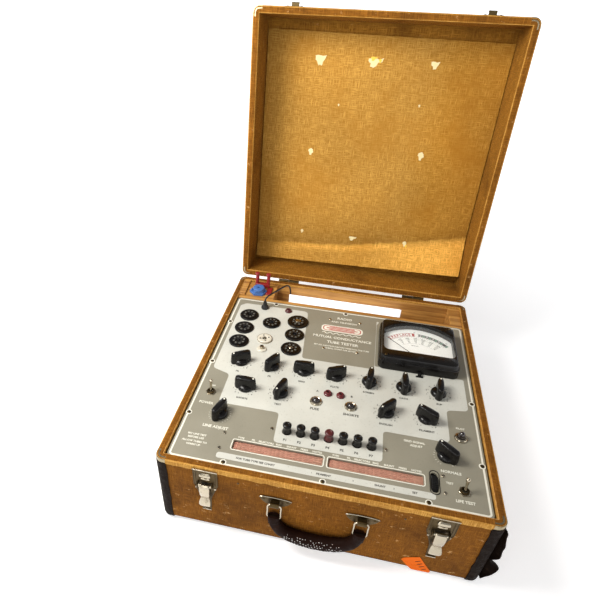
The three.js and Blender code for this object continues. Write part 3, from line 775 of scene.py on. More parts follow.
def case_shell(name, height, floor, material, inner_material, z_of):
    """A deep tray with a round-edged end; z_of turns its own height into the frame's."""
    levels = []
    for k in range(6):
        a = k / 5 * math.pi / 2
        levels.append((EDGE_R * (1 - math.sin(a)), EDGE_R * (1 - math.cos(a))))
    levels += [(0, height * f) for f in (0.2, 0.4, 0.6, 0.8)]
    levels += [(0, height - 1.2), (0.35, height - 0.35), (1.2, height)]
    levels += [(WALL - 1.0, height), (WALL - 0.2, height - 0.4), (WALL, height - 1.2)]
    inner_start = len(levels)
    levels += [(WALL, height * f) for f in (0.75, 0.5, 0.25)]
    levels += [(WALL, floor)]
    bm = bmesh.new()
    rings = []
    for inset, level in levels:
        ring = []
        for x, y in case_outline(inset):
            z = z_of(level)
            push = unevenness((x, y, z), 0.5) if 4 < level < height - 3 and inset == 0 else 0.0
            length = math.hypot(x, y)
            ring.append(bm.verts.new((x + x / length * push, y + y / length * push, z)))
        rings.append(ring)
    for level in range(len(rings) - 1):
        for face in join_rows(bm, rings[level : level + 2]):
            face.material_index = 1 if level >= inner_start - 3 else 0
    bm.faces.new(rings[0])
    bm.faces.new(rings[-1]).material_index = 1
    piece = from_bmesh(name, bm, material)
    piece.data.materials.append(MATERIALS[inner_material])
    return piece


def rim_band(name, z_edge, z_low, material):
    """Worn cloth tape round the rim: its edge wanders where it has frayed."""
    bm = bmesh.new()
    toward = 1 if z_low < z_edge else -1
    profile = [
        (-0.1, 0, True), (-0.75, 0, True), (-0.75, 0.55, False), (-0.7, 0.9, False), (0.4, 1.0, False),
        (WALL - 0.8, 1.0, False), (WALL + 0.4, 0.92, False), (WALL + 0.4, 0.6, False),
        (WALL - 0.1, 0.6, False), (WALL - 0.1, 0.97, False), (0.5, 0.97, False), (-0.1, 0.88, False),
    ]
    rings = []
    for inset, share, edge in profile:
        ring = []
        for x, y in case_outline(inset, straight=60):
            z = z_low + (z_edge - z_low) * share + (0.3 * toward if share >= 0.97 else 0)
            if edge:
                z += noise.noise(Vector((x, y, 0)) * 0.09) * 1.8 + noise.noise(Vector((x, y, 5)) * 0.5) * 0.6
            ring.append(bm.verts.new((x, y, z)))
        rings.append(ring)
    join_rows(bm, [*rings, rings[0]])
    return from_bmesh(name, bm, material)


def corner_strip(name, corner, profile, reach, thick, material, ragged=0.0):
    """A guard bent round one upright corner: profile is [(inset, z)] up the corner."""
    sx, sy = corner
    cx, cy = HALF_W - CORNER_R, HALF_D - CORNER_R
    steps = 6
    bm = bmesh.new()
    columns = []
    front_reach, side_reach = reach
    path = [k / 3 - 1 for k in range(3)] + [k / steps for k in range(steps + 1)]
    path += [1 + (k + 1) / 3 for k in range(3)]
    for u in path:
        column = []
        for inset, z in profile:
            fringe = noise.noise(Vector((u * 3, z * 0.07, sx + 2 * sy))) * ragged
            for layer in (0.15, 0.15 + thick):
                r = max(CORNER_R - inset, 0.5) + layer
                if u < 0:
                    x = cx + u * (front_reach + fringe)
                    y = cy + r
                elif u > 1:
                    x = cx + r
                    y = cy - (u - 1) * (side_reach + fringe)
                else:
                    a = (1 - u) * math.pi / 2
                    x = cx + r * math.cos(a)
                    y = cy + r * math.sin(a)
                column.append(bm.verts.new((sx * x, sy * y, z)))
        columns.append(column)
    rows = len(profile)
    for left, right in zip(columns, columns[1:]):
        for r in range(rows - 1):
            a, b = 2 * r, 2 * r + 2
            bm.faces.new((left[a], left[b], right[b], right[a]))
            bm.faces.new((left[a + 1], right[a + 1], right[b + 1], left[b + 1]))
    for column in (columns[0], columns[-1]):
        for r in range(rows - 1):
            a, b = 2 * r, 2 * r + 2
            bm.faces.new((column[a], column[a + 1], column[b + 1], column[b]))
    for left, right in zip(columns, columns[1:]):
        for a in (0, 2 * (rows - 1)):
            bm.faces.new((left[a], right[a], right[a + 1], left[a + 1]))
    return from_bmesh(name, bm, material)


base_cover = case_shell("case_cover", RIM_Z, FLOOR_T, "tweed_front", "wood", lambda level: level)
show(base_cover, "base", "case_shell", "base_case")
show(rim_band("case_rim_tape", RIM_Z - 0.4, RIM_Z - 8.5, "tweed_rim"), "base", "case_shell")

LID_RIM_Z = RIM_Z + LID_SEAM
LID_END_Z = LID_RIM_Z + LID_DEPTH
lid_cover = case_shell(
    "lid_cover", LID_DEPTH, LID_TOP_T, "tweed_front", "tweed_lid", lambda level: LID_END_Z - level
)
lid_piece(lid_cover, "case_shell", "lid_case")
lid_piece(rim_band("lid_rim_tape", LID_RIM_Z + 0.4, LID_RIM_Z + 8.5, "tweed_rim"), "case_shell")

STRAP_PROFILE = [(4.5, 0.9), (2.2, 2.4), (0.6, 5.0), (0, 8.5)]
STRAP_PROFILE += [(0, z) for z in (*range(18, 122, 10), 124)]
CAP_PROFILE = [(0, 122.5), (0, 125), (0, 128), (0, RIM_Z - 1), (0.5, RIM_Z - 0.2), (4.5, RIM_Z + 0.1)]
for label, corner in (
    ("front_left", (-1, -1)), ("front_right", (1, -1)), ("back_left", (-1, 1)), ("back_right", (1, 1)),
):
    strap = corner_strip(f"leather_corner_{label}", corner, STRAP_PROFILE, (5.5, 6.0), 1.3, "leather", 2.2)
    show(strap, "base", "handle_leather")
    cap = corner_strip(f"corner_cap_{label}", corner, CAP_PROFILE, (4.5, 5.0), 0.7, "cap_metal", 0.3)
    show(cap, "base", "nickel")
    lid_profile = [(inset, LID_RIM_Z + RIM_Z - z) for inset, z in CAP_PROFILE]
    lid_cap = corner_strip(f"lid_corner_cap_{label}", corner, lid_profile, (4.5, 5.0), 0.7, "cap_metal", 0.3)
    lid_piece(lid_cap, "nickel")
    lid_profile = [(inset, LID_END_Z - z) for inset, z in STRAP_PROFILE if z < 70]
    lid_strap = corner_strip(
        f"lid_leather_corner_{label}", corner, lid_profile, (5.5, 6.0), 1.3, "leather", 2.0
    )
    lid_piece(lid_strap, "handle_leather")


# ---------------------------------------------------------------- printed panel
INK = 0.12
BORDER_INSET = 2.2
BORDER_W = 2.4
SCREW_PLACES = [
    (-128, -213), (0, -213), (128, -213), (-198.5, 80), (-198.5, -29), (-198.5, -141), (198.5, -31),
    (198.5, -143), (-129.5, 151.5), (-0.5, 151.5),
]
RIVET_PLACES = [
    (-139.4, -192), (-139, -166), (147.7, -170), (148.7, -195), (76.4, -145), (-78, -144), (-26.4, 129),
    (26.6, 129), (-28.8, 46), (26.4, 46),
]


def fillet(corners, steps=5):
    """An outline of (x, y, radius) corners with each corner rounded."""
    points = []
    count = len(corners)
    for i, (x, y, r) in enumerate(corners):
        here = Vector((x, y))
        back = (Vector(corners[i - 1][:2]) - here).normalized()
        ahead = (Vector(corners[(i + 1) % count][:2]) - here).normalized()
        if r <= 0:
            points.append((x, y))
            continue
        half = back.angle(ahead) / 2
        reach = r / math.tan(half)
        start, end = here + back * reach, here + ahead * reach
        for k in range(steps + 1):
            t = k / steps
            bend = start * (1 - t) ** 2 + here * 2 * t * (1 - t) + end * t**2
            points.append((bend.x, bend.y))
    return points


def printed(name, material, outlines, layer=1):
    """Flat printed shapes; each outline is a loop and a list of the loops of its holes."""
    bm = bmesh.new()
    z0 = TOP + INK * (layer - 1) + 0.02
    for loop, holes in outlines:
        add_prism(bm, loop, z0, z0 + INK, holes)
    return add_piece(name, bm, material, "base", "panel_paint", smooth=0)


def ring_loop(x, y, r, steps):
    corners = (on_circle(2 * math.pi * k / steps, r) for k in range(steps))
    return [(x + a, y + b) for a, b in corners]


def frame_loops(x0, x1, y0, y1, r, width):
    """A printed line round a rectangle."""
    outer = rounded(x0, x1, y0, y1, r)
    inner = rounded(x0 + width, x1 - width, y0 + width, y1 - width, max(r - width, 0.5))
    return (outer, [inner])


# The CAD panel with rolled edges round its cut-outs.
plate = bevel(node_copy("panel", "panel_plate", "taupe"), 0.35, 2, 60)
show(plate, "base", "panel_paint", "panel")

SOCKET_NODES = sorted(n for n in frame["nodes"] if n.startswith("tube_socket"))
KNOB_JOINTS = [j for j in frame["joints"] if j["name"].endswith("_knob_turn") or "selector_knob" in j["name"]]
BUTTON_JOINTS = [j for j in frame["joints"] if j["name"].startswith("push_button")]


def node_centre(node):
    low, high = mm_box(node)
    return (low.x + high.x) / 2, (low.y + high.y) / 2, (high.x - low.x) / 2


CREAM_FIELD = [
    (-184, 142, 10), (-193, 133, 3), (-193, -43, 8), (-164, -52, 8), (-164, -113, 8), (-74, -113, 6),
    (-72, -166, 6), (72, -166, 6), (72, -113, 6), (161, -113, 8), (161, -52, 8), (192, -47, 8), (192, 20, 3),
    (56, 20, 3), (56, 132, 5), (61, 142, 3), (55.5, 142, 2), (55.5, 12, 6), (-60, 12, 6), (-68, 142, 10),
]
KNOB_HOLE = 4.2


def panel_holes():
    """The panel's round cut-outs, which the printing leaves free."""
    loops = []
    for node in SOCKET_NODES:
        x, y, _ = node_centre(node)
        loops.append(ring_loop(x, y, 12.7, 18))
    for joint in KNOB_JOINTS:
        x, y, _ = joint_place(joint)
        loops.append(ring_loop(x, y, KNOB_HOLE, 14))
    for node in (n for n in frame["nodes"] if n.startswith("push_button")):
        x, y, _ = node_centre(node)
        loops.append(ring_loop(x, y, 6.9, 18))
    return loops


printed("panel_cream_field", "cream", [(fillet(CREAM_FIELD)[::-1], panel_holes())])
border = [
    PANEL_LOW.x + BORDER_INSET, PANEL_HIGH.x - BORDER_INSET, PANEL_LOW.y + BORDER_INSET,
    PANEL_HIGH.y - BORDER_INSET,
]
printed("panel_border_line", "white_ink", [frame_loops(*border, 5, BORDER_W)])

CHART_LOW, CHART_HIGH = mm_box("roll_chart")
CHART_Y = (CHART_LOW.y + CHART_HIGH.y) / 2
WINDOW_HALF = 7.5
WINDOWS = ((-123.5, -3.5), (3.5, 123.5))
window_lines = [
    frame_loops(x0 - 2.0, x1 + 2.0, CHART_Y - WINDOW_HALF - 2.0, CHART_Y + WINDOW_HALF + 2.0, 3.5, 1.3)
    for x0, x1 in WINDOWS
]
printed("chart_window_lines", "white_ink", window_lines, 2)
printed("chart_label_bar", "cream", [(rounded(-140, 137, -207.6, -198.3, 3.5), [])])


# ---------------------------------------------------------------- screws and washers
def screw_head(bm, x, y, z, r, height):
    """A domed head."""
    profile = [(0, 0), (r, 0), (r, height * 0.4), (r * 0.8, height * 0.85), (r * 0.4, height)]
    add_lathe(bm, [*profile, (0, height * 1.05)], 18, at(x, y, z))


def slot_mark(bm, x, y, z, r, turn):
    # A raised near-black bar: the slot's depth is painted shade.
    add_box(bm, (-r * 0.8, -0.3, 0), (r * 0.8, 0.3, 0.18), at(x, y, z, turn))


def panel_screws():
    rings = bmesh.new()
    heads = bmesh.new()
    rivets = bmesh.new()
    slots = bmesh.new()
    for x, y in SCREW_PLACES:
        washer = [(2.6, 0), (4.4, 0), (4.4, 0.2), (4.0, 0.35), (2.6, 0.35), (2.6, 0)]
        add_lathe(rings, washer, 22, at(x, y, TOP + 0.02))
        screw_head(heads, x, y, TOP + 0.02, 2.9, height=1.0)
        slot_mark(slots, x, y, TOP + 0.95, 2.4, 40 * len(heads.verts))
    for x, y in RIVET_PLACES:
        screw_head(rivets, x, y, TOP + 0.2, 2.5, height=1.1)
        slot_mark(slots, x, y, TOP + 1.2, 2.3, rng.uniform(0, 180))
    add_piece("panel_screw_washers", rings, "white_ink", "base", "nickel")
    add_piece("panel_screw_heads", heads, "dull_nickel", "base", "nickel")
    add_piece("panel_rivets", rivets, "nickel", "base", "nickel")
    add_piece("panel_screw_slots", slots, "hole", "base", "nickel", smooth=0)


panel_screws()


# ---------------------------------------------------------------- tube sockets
CERAMIC_SOCKETS = {"tube_socket_5"}
CENTRE_CONTACTS = {"tube_socket_5": 2.6, "tube_socket_6": 5.2, "tube_socket_8": 3.4}


def socket_piece(node, index):
    x, y, rim = node_centre(node)
    ceramic = node in CERAMIC_SOCKETS
    material = "ceramic" if ceramic else "bakelite"
    flange_z = TOP + 0.3
    body = bmesh.new()
    inner = 11.5 if ceramic else 13.2
    if ceramic:
        profile = [(3.2, -6), (12, -6), (12, 0), (rim, 0), (rim, 1.0), (rim - 1.2, 1.6), (inner + 1, 2.0)]
        profile += [(inner, 2.8), (inner - 1, 3.1), (4.4, 3.1), (3.6, 2.6), (3.2, 1.5), (3.2, -6)]
    else:
        profile = [(3.4, -6), (12, -6), (12, 0), (rim, 0), (rim, 1.5), (rim - 0.8, 2.3), (inner + 0.6, 2.5)]
        profile += [(inner, 1.7), (inner - 0.8, 1.7), (inner - 1.2, 3.1), (4.8, 3.1), (4.2, 2.4), (3.4, 2.2)]
        profile += [(3.4, -6)]
    add_lathe(body, profile, 36, at(x, y, flange_z))
    piece = from_bmesh(f"{node}_body", body, material)
    show(piece, "base", material, node)
    # The pin holes, centre bore and key slot are near-black discs, plugs and bars: painted shade, not cut
    # openings.
    holes = bmesh.new()
    count, radius = (8, 8.4) if not ceramic else (4 if rim < 15 else 7, 7.2)
    contacts_as_glints = bmesh.new()
    lip = [(0.95, 3.05), (1.55, 3.05), (1.5, 3.3), (0.95, 3.3), (0.95, 3.05)]
    for k in range(count):
        px, py = on_circle(math.radians(22.5) + 2 * math.pi * k / count, radius)
        hole = [(0, 0), (1.15, 0), (1.15, 0.12), (0, 0.12)]
        add_lathe(holes, hole, 12, at(x + px, y + py, flange_z + 3.05))
        add_lathe(contacts_as_glints, lip, 14, at(x + px, y + py, flange_z))
    add_lathe(holes, [(0, -5), (3.1, -5), (3.1, 0.2), (0, 0.2)], 20, at(x, y, flange_z))
    add_box(holes, (-0.9, 0, -5), (0.9, 4.6, 3.14), at(x, y, flange_z, 30 * index))
    add_piece(f"{node}_pin_holes", holes, "hole", "base", "bakelite", smooth=0)
    # The contacts are a pale non-metal grey so they read as specks: painted glints in place of their metal
    # shine.
    add_piece(f"{node}_contacts", contacts_as_glints, "dial_grey", "base", "nickel")
    if ceramic:
        ring = [(rim - 2.4, 1.7), (rim - 0.2, 1.5), (rim - 0.2, 2.1), (rim - 2.4, 2.4), (rim - 2.4, 1.7)]
        add_turned(f"{node}_saddle", ring, 36, at(x, y, flange_z), "cap_metal", "base", "nickel")
    if node in CENTRE_CONTACTS:
        post = bmesh.new()
        r = CENTRE_CONTACTS[node]
        ring = [(r * 0.45, 3.0), (r, 3.0), (r, 3.9), (r * 0.8, 4.5), (r * 0.55, 4.2), (r * 0.45, 3.0)]
        add_lathe(post, ring, 24, at(x, y, flange_z))
        add_lathe(post, [(0, 1), (r * 0.36, 1), (r * 0.36, 4.6), (0, 5)], 16, at(x, y, flange_z))
        add_piece(f"{node}_centre_contact", post, "nickel", "base", "nickel")
    if ceramic:
        return
    ring = [(rim - 0.5, 2.2), (rim + 0.05, 1.9), (rim + 0.05, 1.5), (rim - 0.5, 1.5), (rim - 0.5, 2.2)]
    add_turned(f"{node}_worn_edge", ring, 36, at(x, y, flange_z), "matt_black", "base", "bakelite")
    ears = bmesh.new()
    for turn in (20 + 40 * (index % 3), 200 + 40 * (index % 3)):
        px, py = on_circle(math.radians(turn), rim - 1.9)
        screw_head(ears, x + px, y + py, flange_z + 2.1, 1.3, height=0.8)
    add_piece(f"{node}_rivets", ears, "dull_nickel", "base", "nickel")


for index, node in enumerate(SOCKET_NODES):
    socket_piece(node, index)


def miniature_socket():
    """A small ceramic jack with a plated sleeve between the socket columns."""
    x, y = -128, 18
    add_turned(
        "miniature_jack_body", [(0, 0), (8, 0), (8, 1.4), (7, 2.2), (3.4, 2.4), (0, 2.4)], 28,
        at(x, y, TOP + 0.25), "ceramic", "base", "ceramic",
    )
    profile = [(1.6, 0.5), (3.2, 0.5), (3.4, 4.6), (2.8, 5.2), (1.6, 5.2), (1.6, 0.5)]
    add_turned("miniature_jack_sleeve", profile, 20, at(x, y, TOP + 2.3), "nickel", "base", "nickel")


miniature_socket()


# ---------------------------------------------------------------- knobs
# The knobs are drawn this much larger across than they stand in the tables below.
KNOB_GROWTH = 1.05
KNOB_TICK_R = 15.2


def knob_mesh():
    """A bar pointer on a round skirt: tall waisted grip with a rounded nose."""
    bm = bmesh.new()
    skirt = [(0, 0), (10.6, 0), (11.0, 0.5), (11.0, 2.2), (10.4, 4.4), (8.6, 6.2), (6.0, 7.0), (0, 7.2)]
    add_lathe(bm, skirt, 36)
    sections = [
        (0.4, 15.4, 4.9), (4.0, 15.9, 4.8), (9.0, 15.7, 4.3), (14.0, 15.3, 4.1), (18.2, 14.7, 4.2),
        (19.5, 14.1, 3.7), (20.0, 13.2, 3.0),
    ]
    rings = []
    for z, half, width in sections:
        ring = []
        nose = width * 1.15
        outline = [
            (width, -half + nose * 0.6), (width * 1.05, -half * 0.35), (width * 1.12, 0),
            (width, half * 0.45), (width * 0.86, half - nose * 0.8), (width * 0.5, half - nose * 0.16),
            (0, half),
        ]
        left = [(-x, y) for x, y in outline[::-1] if x > 0]
        tail = [(-width * 0.5, -half + nose * 0.1), (0, -half), (width * 0.5, -half + nose * 0.1)]
        for x, y in [*outline, *left, *tail]:
            ring.append(bm.verts.new((x, y, z)))
        rings.append(ring)
    join_rows(bm, rings)
    bm.faces.new(rings[0][::-1])
    bm.faces.new(rings[-1])
    return bm


def knob_pieces():
    grip = from_bmesh("knob_shape", knob_mesh(), "bakelite", 50)
    dot_bm = bmesh.new()
    add_lathe(dot_bm, [(0, 0), (1.35, 0), (1.2, 0.25), (0, 0.3)], 14, at(0, 11.2, 19.95))
    dot = from_bmesh("dot_shape", dot_bm, "white_ink")
    for shape in (grip, dot):
        shape.data.transform(Matrix.Diagonal((KNOB_GROWTH, KNOB_GROWTH, 1, 1)))
    for joint in KNOB_JOINTS:
        node = joint["child"]
        x, y, z = joint_place(joint)
        turn = sum(joint["range_deg"]) / 2
        for shape, label, slot, nodes in (
            (grip, "grip", "bakelite", [node]), (dot, "dot", "panel_paint", []),
        ):
            piece = new_object(f"{node}_{label}", shape.data)
            place = at(x, y, z, turn)
            place.translation = place.translation * MM
            piece.matrix_world = place
            show(piece, node, slot, *nodes)
    bpy.data.objects.remove(grip)
    bpy.data.objects.remove(dot)


knob_pieces()


def knob_ticks():
    """Scale marks printed round each knob."""
    dark = bmesh.new()
    light = bmesh.new()
    for joint in KNOB_JOINTS:
        x, y, _ = joint_place(joint)
        on_taupe = abs(x) > 150 and y < -100
        fine = joint["name"].startswith(("bias", "line"))
        count = 21 if fine else 12
        for k in range(count):
            a = -150 + 300 * k / (count - 1)
            size = (0.22, 1.1) if fine else (0.32, 0.9)
            place = at(x, y, TOP + INK + 0.02, a) @ Matrix.Translation((0, KNOB_TICK_R, 0))
            add_box(light if on_taupe else dark, (-size[0], -size[1], 0), (size[0], size[1], INK), place)
    add_piece("knob_scale_marks_dark", dark, "dark_ink", "base", "panel_paint", smooth=0)
    add_piece("knob_scale_marks_light", light, "white_ink", "base", "panel_paint", smooth=0)


knob_ticks()


# ---------------------------------------------------------------- push-buttons and toggles
def button_pieces():
    for joint in BUTTON_JOINTS:
        node = joint["child"]
        x, y, _ = node_centre(node)
        middle = node.endswith("_4")
        bm = bmesh.new()
        profile = [(0, -8), (5.3, -8), (5.4, 0.8), (6.0, 1.6), (6.15, 3.0), (5.6, 4.6), (5.05, 7.0)]
        profile += [(5.2, 9.5), (5.9, 11.6), (6.1, 12.8), (5.9, 13.9), (5.1, 14.7), (3.2, 15.0)]
        profile += [(2.6, 14.6), (0, 14.3)]
        add_lathe(bm, profile, 32, at(x, y, TOP))
        piece = from_bmesh(f"{node}_cap", bm, "maroon" if middle else "bakelite", 40)
        show(piece, node, "maroon_plastic" if middle else "bakelite", node)


button_pieces()


def toggle_pieces():
    collar_bm = bmesh.new()
    nut_bm = bmesh.new()
    for joint in (JOINTS["power_toggle_flip"], JOINTS["life_test_toggle_flip"]):
        node = joint["child"]
        x, y, z = joint_place(joint)
        lever = bmesh.new()
        profile = [(0, -2.4), (1.8, -1.6), (2.2, 0), (1.5, 3), (1.55, 6), (2.0, 11), (2.8, 15.2), (2.5, 17.2)]
        profile += [(1.4, 18.1), (0, 18.3)]
        tilt = Matrix.Rotation(math.radians(-13), 4, "X")
        add_lathe(lever, profile, 20, at(x, y, z) @ tilt)
        add_piece(f"{node}_bat", lever, "nickel", node, "nickel", node, smooth=50)
        collar = [(3.6, 0), (5.6, 0), (5.6, 3.2), (5.2, 3.8), (3.9, 3.8), (3.6, 3.2), (3.6, 0)]
        add_lathe(collar_bm, collar, 24, at(x, y, TOP + 0.3))
        nut = [on_circle(math.radians(60 * k + 10), 7.6) for k in range(6)]
        outline = [(x + a, y + b) for a, b in nut]
        add_prism(nut_bm, outline, TOP + 0.15, TOP + 2.0, [ring_loop(x, y, 5.7, 20)])
    add_piece("toggle_collars", collar_bm, "dull_nickel", "base", "nickel")
    add_piece("toggle_nuts", nut_bm, "nickel", "base", "nickel", smooth=30, edge=0.25)


toggle_pieces()


# ---------------------------------------------------------------- lamps and jacks
def lamp(name, x, y, ring_r, dome_r, height):
    profile = [(dome_r, 0), (ring_r, 0), (ring_r, 1.6), (ring_r - 1, 2.8), (dome_r + 0.8, 3.2), (dome_r, 2.6)]
    add_turned(f"{name}_bezel", [*profile, profile[0]], 32, at(x, y, TOP + 0.15), "nickel", "base", "nickel")
    r = dome_r - 0.2
    shape = [(0, 0), (r, 0), (r, height * 0.35)]
    shape += [(r * math.cos(a), height * 0.35 + height * 0.65 * math.sin(a)) for a in (0.4, 0.8, 1.2)]
    add_turned(
        f"{name}_lens", [*shape, (0, height)], 28,
        at(x, y, TOP + 0.2), "lamp_glass", "base", "maroon_plastic",
    )


lamp("fuse_lamp", -25.6, -79, 9.0, 5.6, 6.5)
lamp("shorts_lamp", 24.8, -78, 9.0, 5.6, 6.5)
lamp("pilot_lamp", 176, -101, 8.8, 5.2, 12)


def jack(name, x, y, material):
    profile = [(2.1, 0.8), (2.1, 0), (6.1, 0), (6.2, 1.8), (5.6, 2.6), (4.6, 3.0), (4.4, 4.6), (3.8, 5.2)]
    add_turned(
        f"{name}_collar", [*profile, (2.6, 5.2), (2.1, 4.6), (2.1, 0.8)], 28,
        at(x, y, TOP + 0.2), material, "base", "maroon_plastic",
    )
    # The bore is a near-black plug: painted shade inside it.
    add_turned(
        f"{name}_bore", [(0, 0), (2.05, 0), (2.05, 3.6), (0, 3.6)], 16,
        at(x, y, TOP + 0.25), "hole", "base", "maroon_plastic", smooth=0,
    )


jack("meter_jack_left", -10.2, -59.5, "jack_red")
jack("meter_jack_right", 8.6, -59.6, "jack_red")
jack("grid_jack", -103.5, 134.5, "maroon")


# ---------------------------------------------------------------- meter
METER_MID_X = (METER_LOW.x + METER_HIGH.x) / 2
DIAL_TOP = mm_box("meter_dial")[1].z
PIVOT = (METER_MID_X, 39.5)
NEEDLE_REST = 48.0


def window_outline(grow=0.0):
    """Straight sides and foot with an arched head."""
    x0, x1 = METER_LOW.x + 7 - grow, METER_HIGH.x - 7 + grow
    y0, y1 = METER_LOW.y + 24 - grow, METER_HIGH.y - 27 + grow
    r, rise = 8.0 + grow, 19.0
    half = (x1 - x0) / 2 - r
    reach = (half * half + rise * rise) / (2 * rise)
    spread = math.asin(half / reach)
    arch = reach + r
    points = []

    def arc(cx, cy, radius, start, end, steps):
        for k in range(steps + 1):
            a = start + (end - start) * k / steps
            points.append((cx + radius * math.cos(a), cy + radius * math.sin(a)))

    arc(x0 + r, y0 + r, r, math.pi, 1.5 * math.pi, 5)
    arc(x1 - r, y0 + r, r, 1.5 * math.pi, 2 * math.pi, 5)
    first, last = math.pi / 2 - spread, math.pi / 2 + spread
    arc(x1 - r, y1 - r, r, 0, first, 4)
    arc(METER_MID_X, y1 + rise - arch, arch, first + 0.02, last - 0.02, 18)
    arc(x0 + r, y1 - r, r, last, math.pi, 4)
    return points


def loft(bm, loops):
    """Joins outlines of the same number of points, each at its own height, into a wall."""
    rings = [[bm.verts.new((x, y, z)) for x, y in loop] for loop, z in loops]
    join_rows(bm, rings)
    return rings


def cap_between(bm, outer, inner):
    """Fills the flat ring between two closed rings of vertices."""
    edges = []
    for ring in (outer, inner):
        for a, b in zip(ring, ring[1:] + ring[:1]):
            edges.append(bm.edges.get((a, b)) or bm.edges.new((a, b)))
    bmesh.ops.triangle_fill(bm, edges=edges, use_beauty=True, use_dissolve=False)


def meter_housing():
    """Moulded case: upright sides, a stepped bezel with a soft edge and a window sloped inward."""
    x0, x1, y0, y1 = METER_LOW.x, METER_HIGH.x, METER_LOW.y, METER_HIGH.y
    z0, z1 = METER_LOW.z, METER_HIGH.z
    bm = bmesh.new()

    def ring(inset, r):
        return rounded(x0 + inset, x1 - inset, y0 + inset, y1 - inset, r, 7)

    walls = [
        (ring(1.2, 9), z0), (ring(0.2, 10), z0 + 0.6), (ring(0.0, 10), z0 + 2), (ring(0.4, 10), z1 - 9.0),
        (ring(0.8, 10), z1 - 8.2), (ring(2.0, 9.4), z1 - 7.9), (ring(2.3, 9.2), z1 - 7.2),
        (ring(3.0, 8.8), z1 - 2.6), (ring(3.9, 8.2), z1 - 0.9), (ring(5.4, 7.2), z1 - 0.15),
        (ring(7.0, 6.2), z1),
    ]
    # The back of the window's arch comes close to the edge, so the top face starts inside it.
    outer = loft(bm, walls[:-1])
    window = [
        (window_outline(1.4), z1 - 0.15), (window_outline(0.9), z1 - 0.4), (window_outline(0.2), z1 - 2.4),
        (window_outline(0.0), z1 - 5.0), (window_outline(0.0), DIAL_TOP + 1.0),
    ]
    inner = loft(bm, window)
    cap_between(bm, outer[-1], inner[0])
    back = [bm.verts.new(v.co) for v in outer[0]]
    bm.faces.new(back)
    return from_bmesh("meter_housing", bm, "bakelite", 32)


show(meter_housing(), "base", "bakelite", "meter_case")


def dial_card():
    bm = bmesh.new()
    add_prism(bm, window_outline(2.2), DIAL_TOP - 1.0, DIAL_TOP + 0.02)
    return add_piece("dial_card", bm, "dial_white", "base", "dial_paper", "meter_dial", smooth=20)


def arc_band(bm, r0, r1, start, end, z, steps_per_degree=0.5):
    """A printed band about the needle pivot; angles are degrees anticlockwise from +Y."""
    steps = max(2, int(abs(end - start) * steps_per_degree))
    loop = []
    for r, order in ((r0, range(steps + 1)), (r1, range(steps, -1, -1))):
        for k in order:
            a = math.radians(start + (end - start) * k / steps)
            loop.append((PIVOT[0] - r * math.sin(a), PIVOT[1] + r * math.cos(a)))
    add_prism(bm, loop, z, z + INK * 0.5)


def on_dial(r, angle):
    a = math.radians(angle)
    return PIVOT[0] - r * math.sin(a), PIVOT[1] + r * math.cos(a)


def dial_printing():
    z = DIAL_TOP + 0.03
    red, black, grey, green = (bmesh.new() for _ in range(4))
    arc_band(red, 67.6, 68.3, 46, 3, z)
    arc_band(red, 60.2, 60.9, 46, 3, z)
    for start, end in ((45.5, 43.0), (7.2, 3.4)):
        arc_band(red, 60.9, 67.6, start, end, z)
    arc_band(black, 67.9, 68.3, -0.5, -46, z)
    arc_band(black, 61.2, 61.6, -0.5, -46, z)
    for k in range(5):
        start = -2.5 - 9.2 * k
        arc_band(green, 61.6, 67.9, start - 6.2, start - 9.0, z)
        arc_band(black, 62.2, 67.4, start, start - 6.0, z)
    for k in range(31):
        angle = 45 - 3 * k
        arc_band(grey, 57.6, 59.4 if k % 5 else 60.2, angle + 0.22, angle - 0.22, z, 4)
    for r in (40.5, 52.8):
        arc_band(grey, r, r + 0.18, 38, -42, z)
    for name, bm, material in (
        ("dial_red_band", red, "red_ink"), ("dial_black_blocks", black, "dark_ink"),
        ("dial_green_blocks", green, "green_ink"), ("dial_fine_lines", grey, "dark_ink"),
    ):
        add_piece(name, bm, material, "base", "dial_paper", smooth=0)
    words = []
    for k, letter in enumerate("REPLACE"):
        angle = 38.5 - 4.6 * k
        words.append((letter, *on_dial(64.2, angle), 5.4, angle))
    show(lettering("dial_red_word", words, "red_ink", z, 0.06), "base", "dial_paper")
    words = []
    for k, letter in enumerate("GOOD"):
        angle = -5.5 - 9.2 * k
        words.append((letter, *on_dial(64.8, angle), 3.2, angle))
    show(lettering("dial_light_word", words, "dial_white", z + 0.07, 0.06), "base", "dial_paper")
    words = []
    for k in range(6):
        angle = 31 - 14 * k
        for line, r in enumerate((54.6, 50.4, 46.6, 43.2)):
            number = str((k + 1) * (500, 100, 20, 5)[line])
            words.append((number, *on_dial(r, angle), 2.5, angle))
    words.append(("LEAKAGE", METER_MID_X - 4, 74, 1.9))
    for number, r, angle in (("0", 71.2, 44), ("50", 71.2, 3), ("100", 71, -42)):
        words.append((number, *on_dial(r, angle), 2.0, angle))
    show(lettering("dial_numbers", words, "dial_grey", z, 0.06), "base", "dial_paper")


dial_card()
dial_printing()


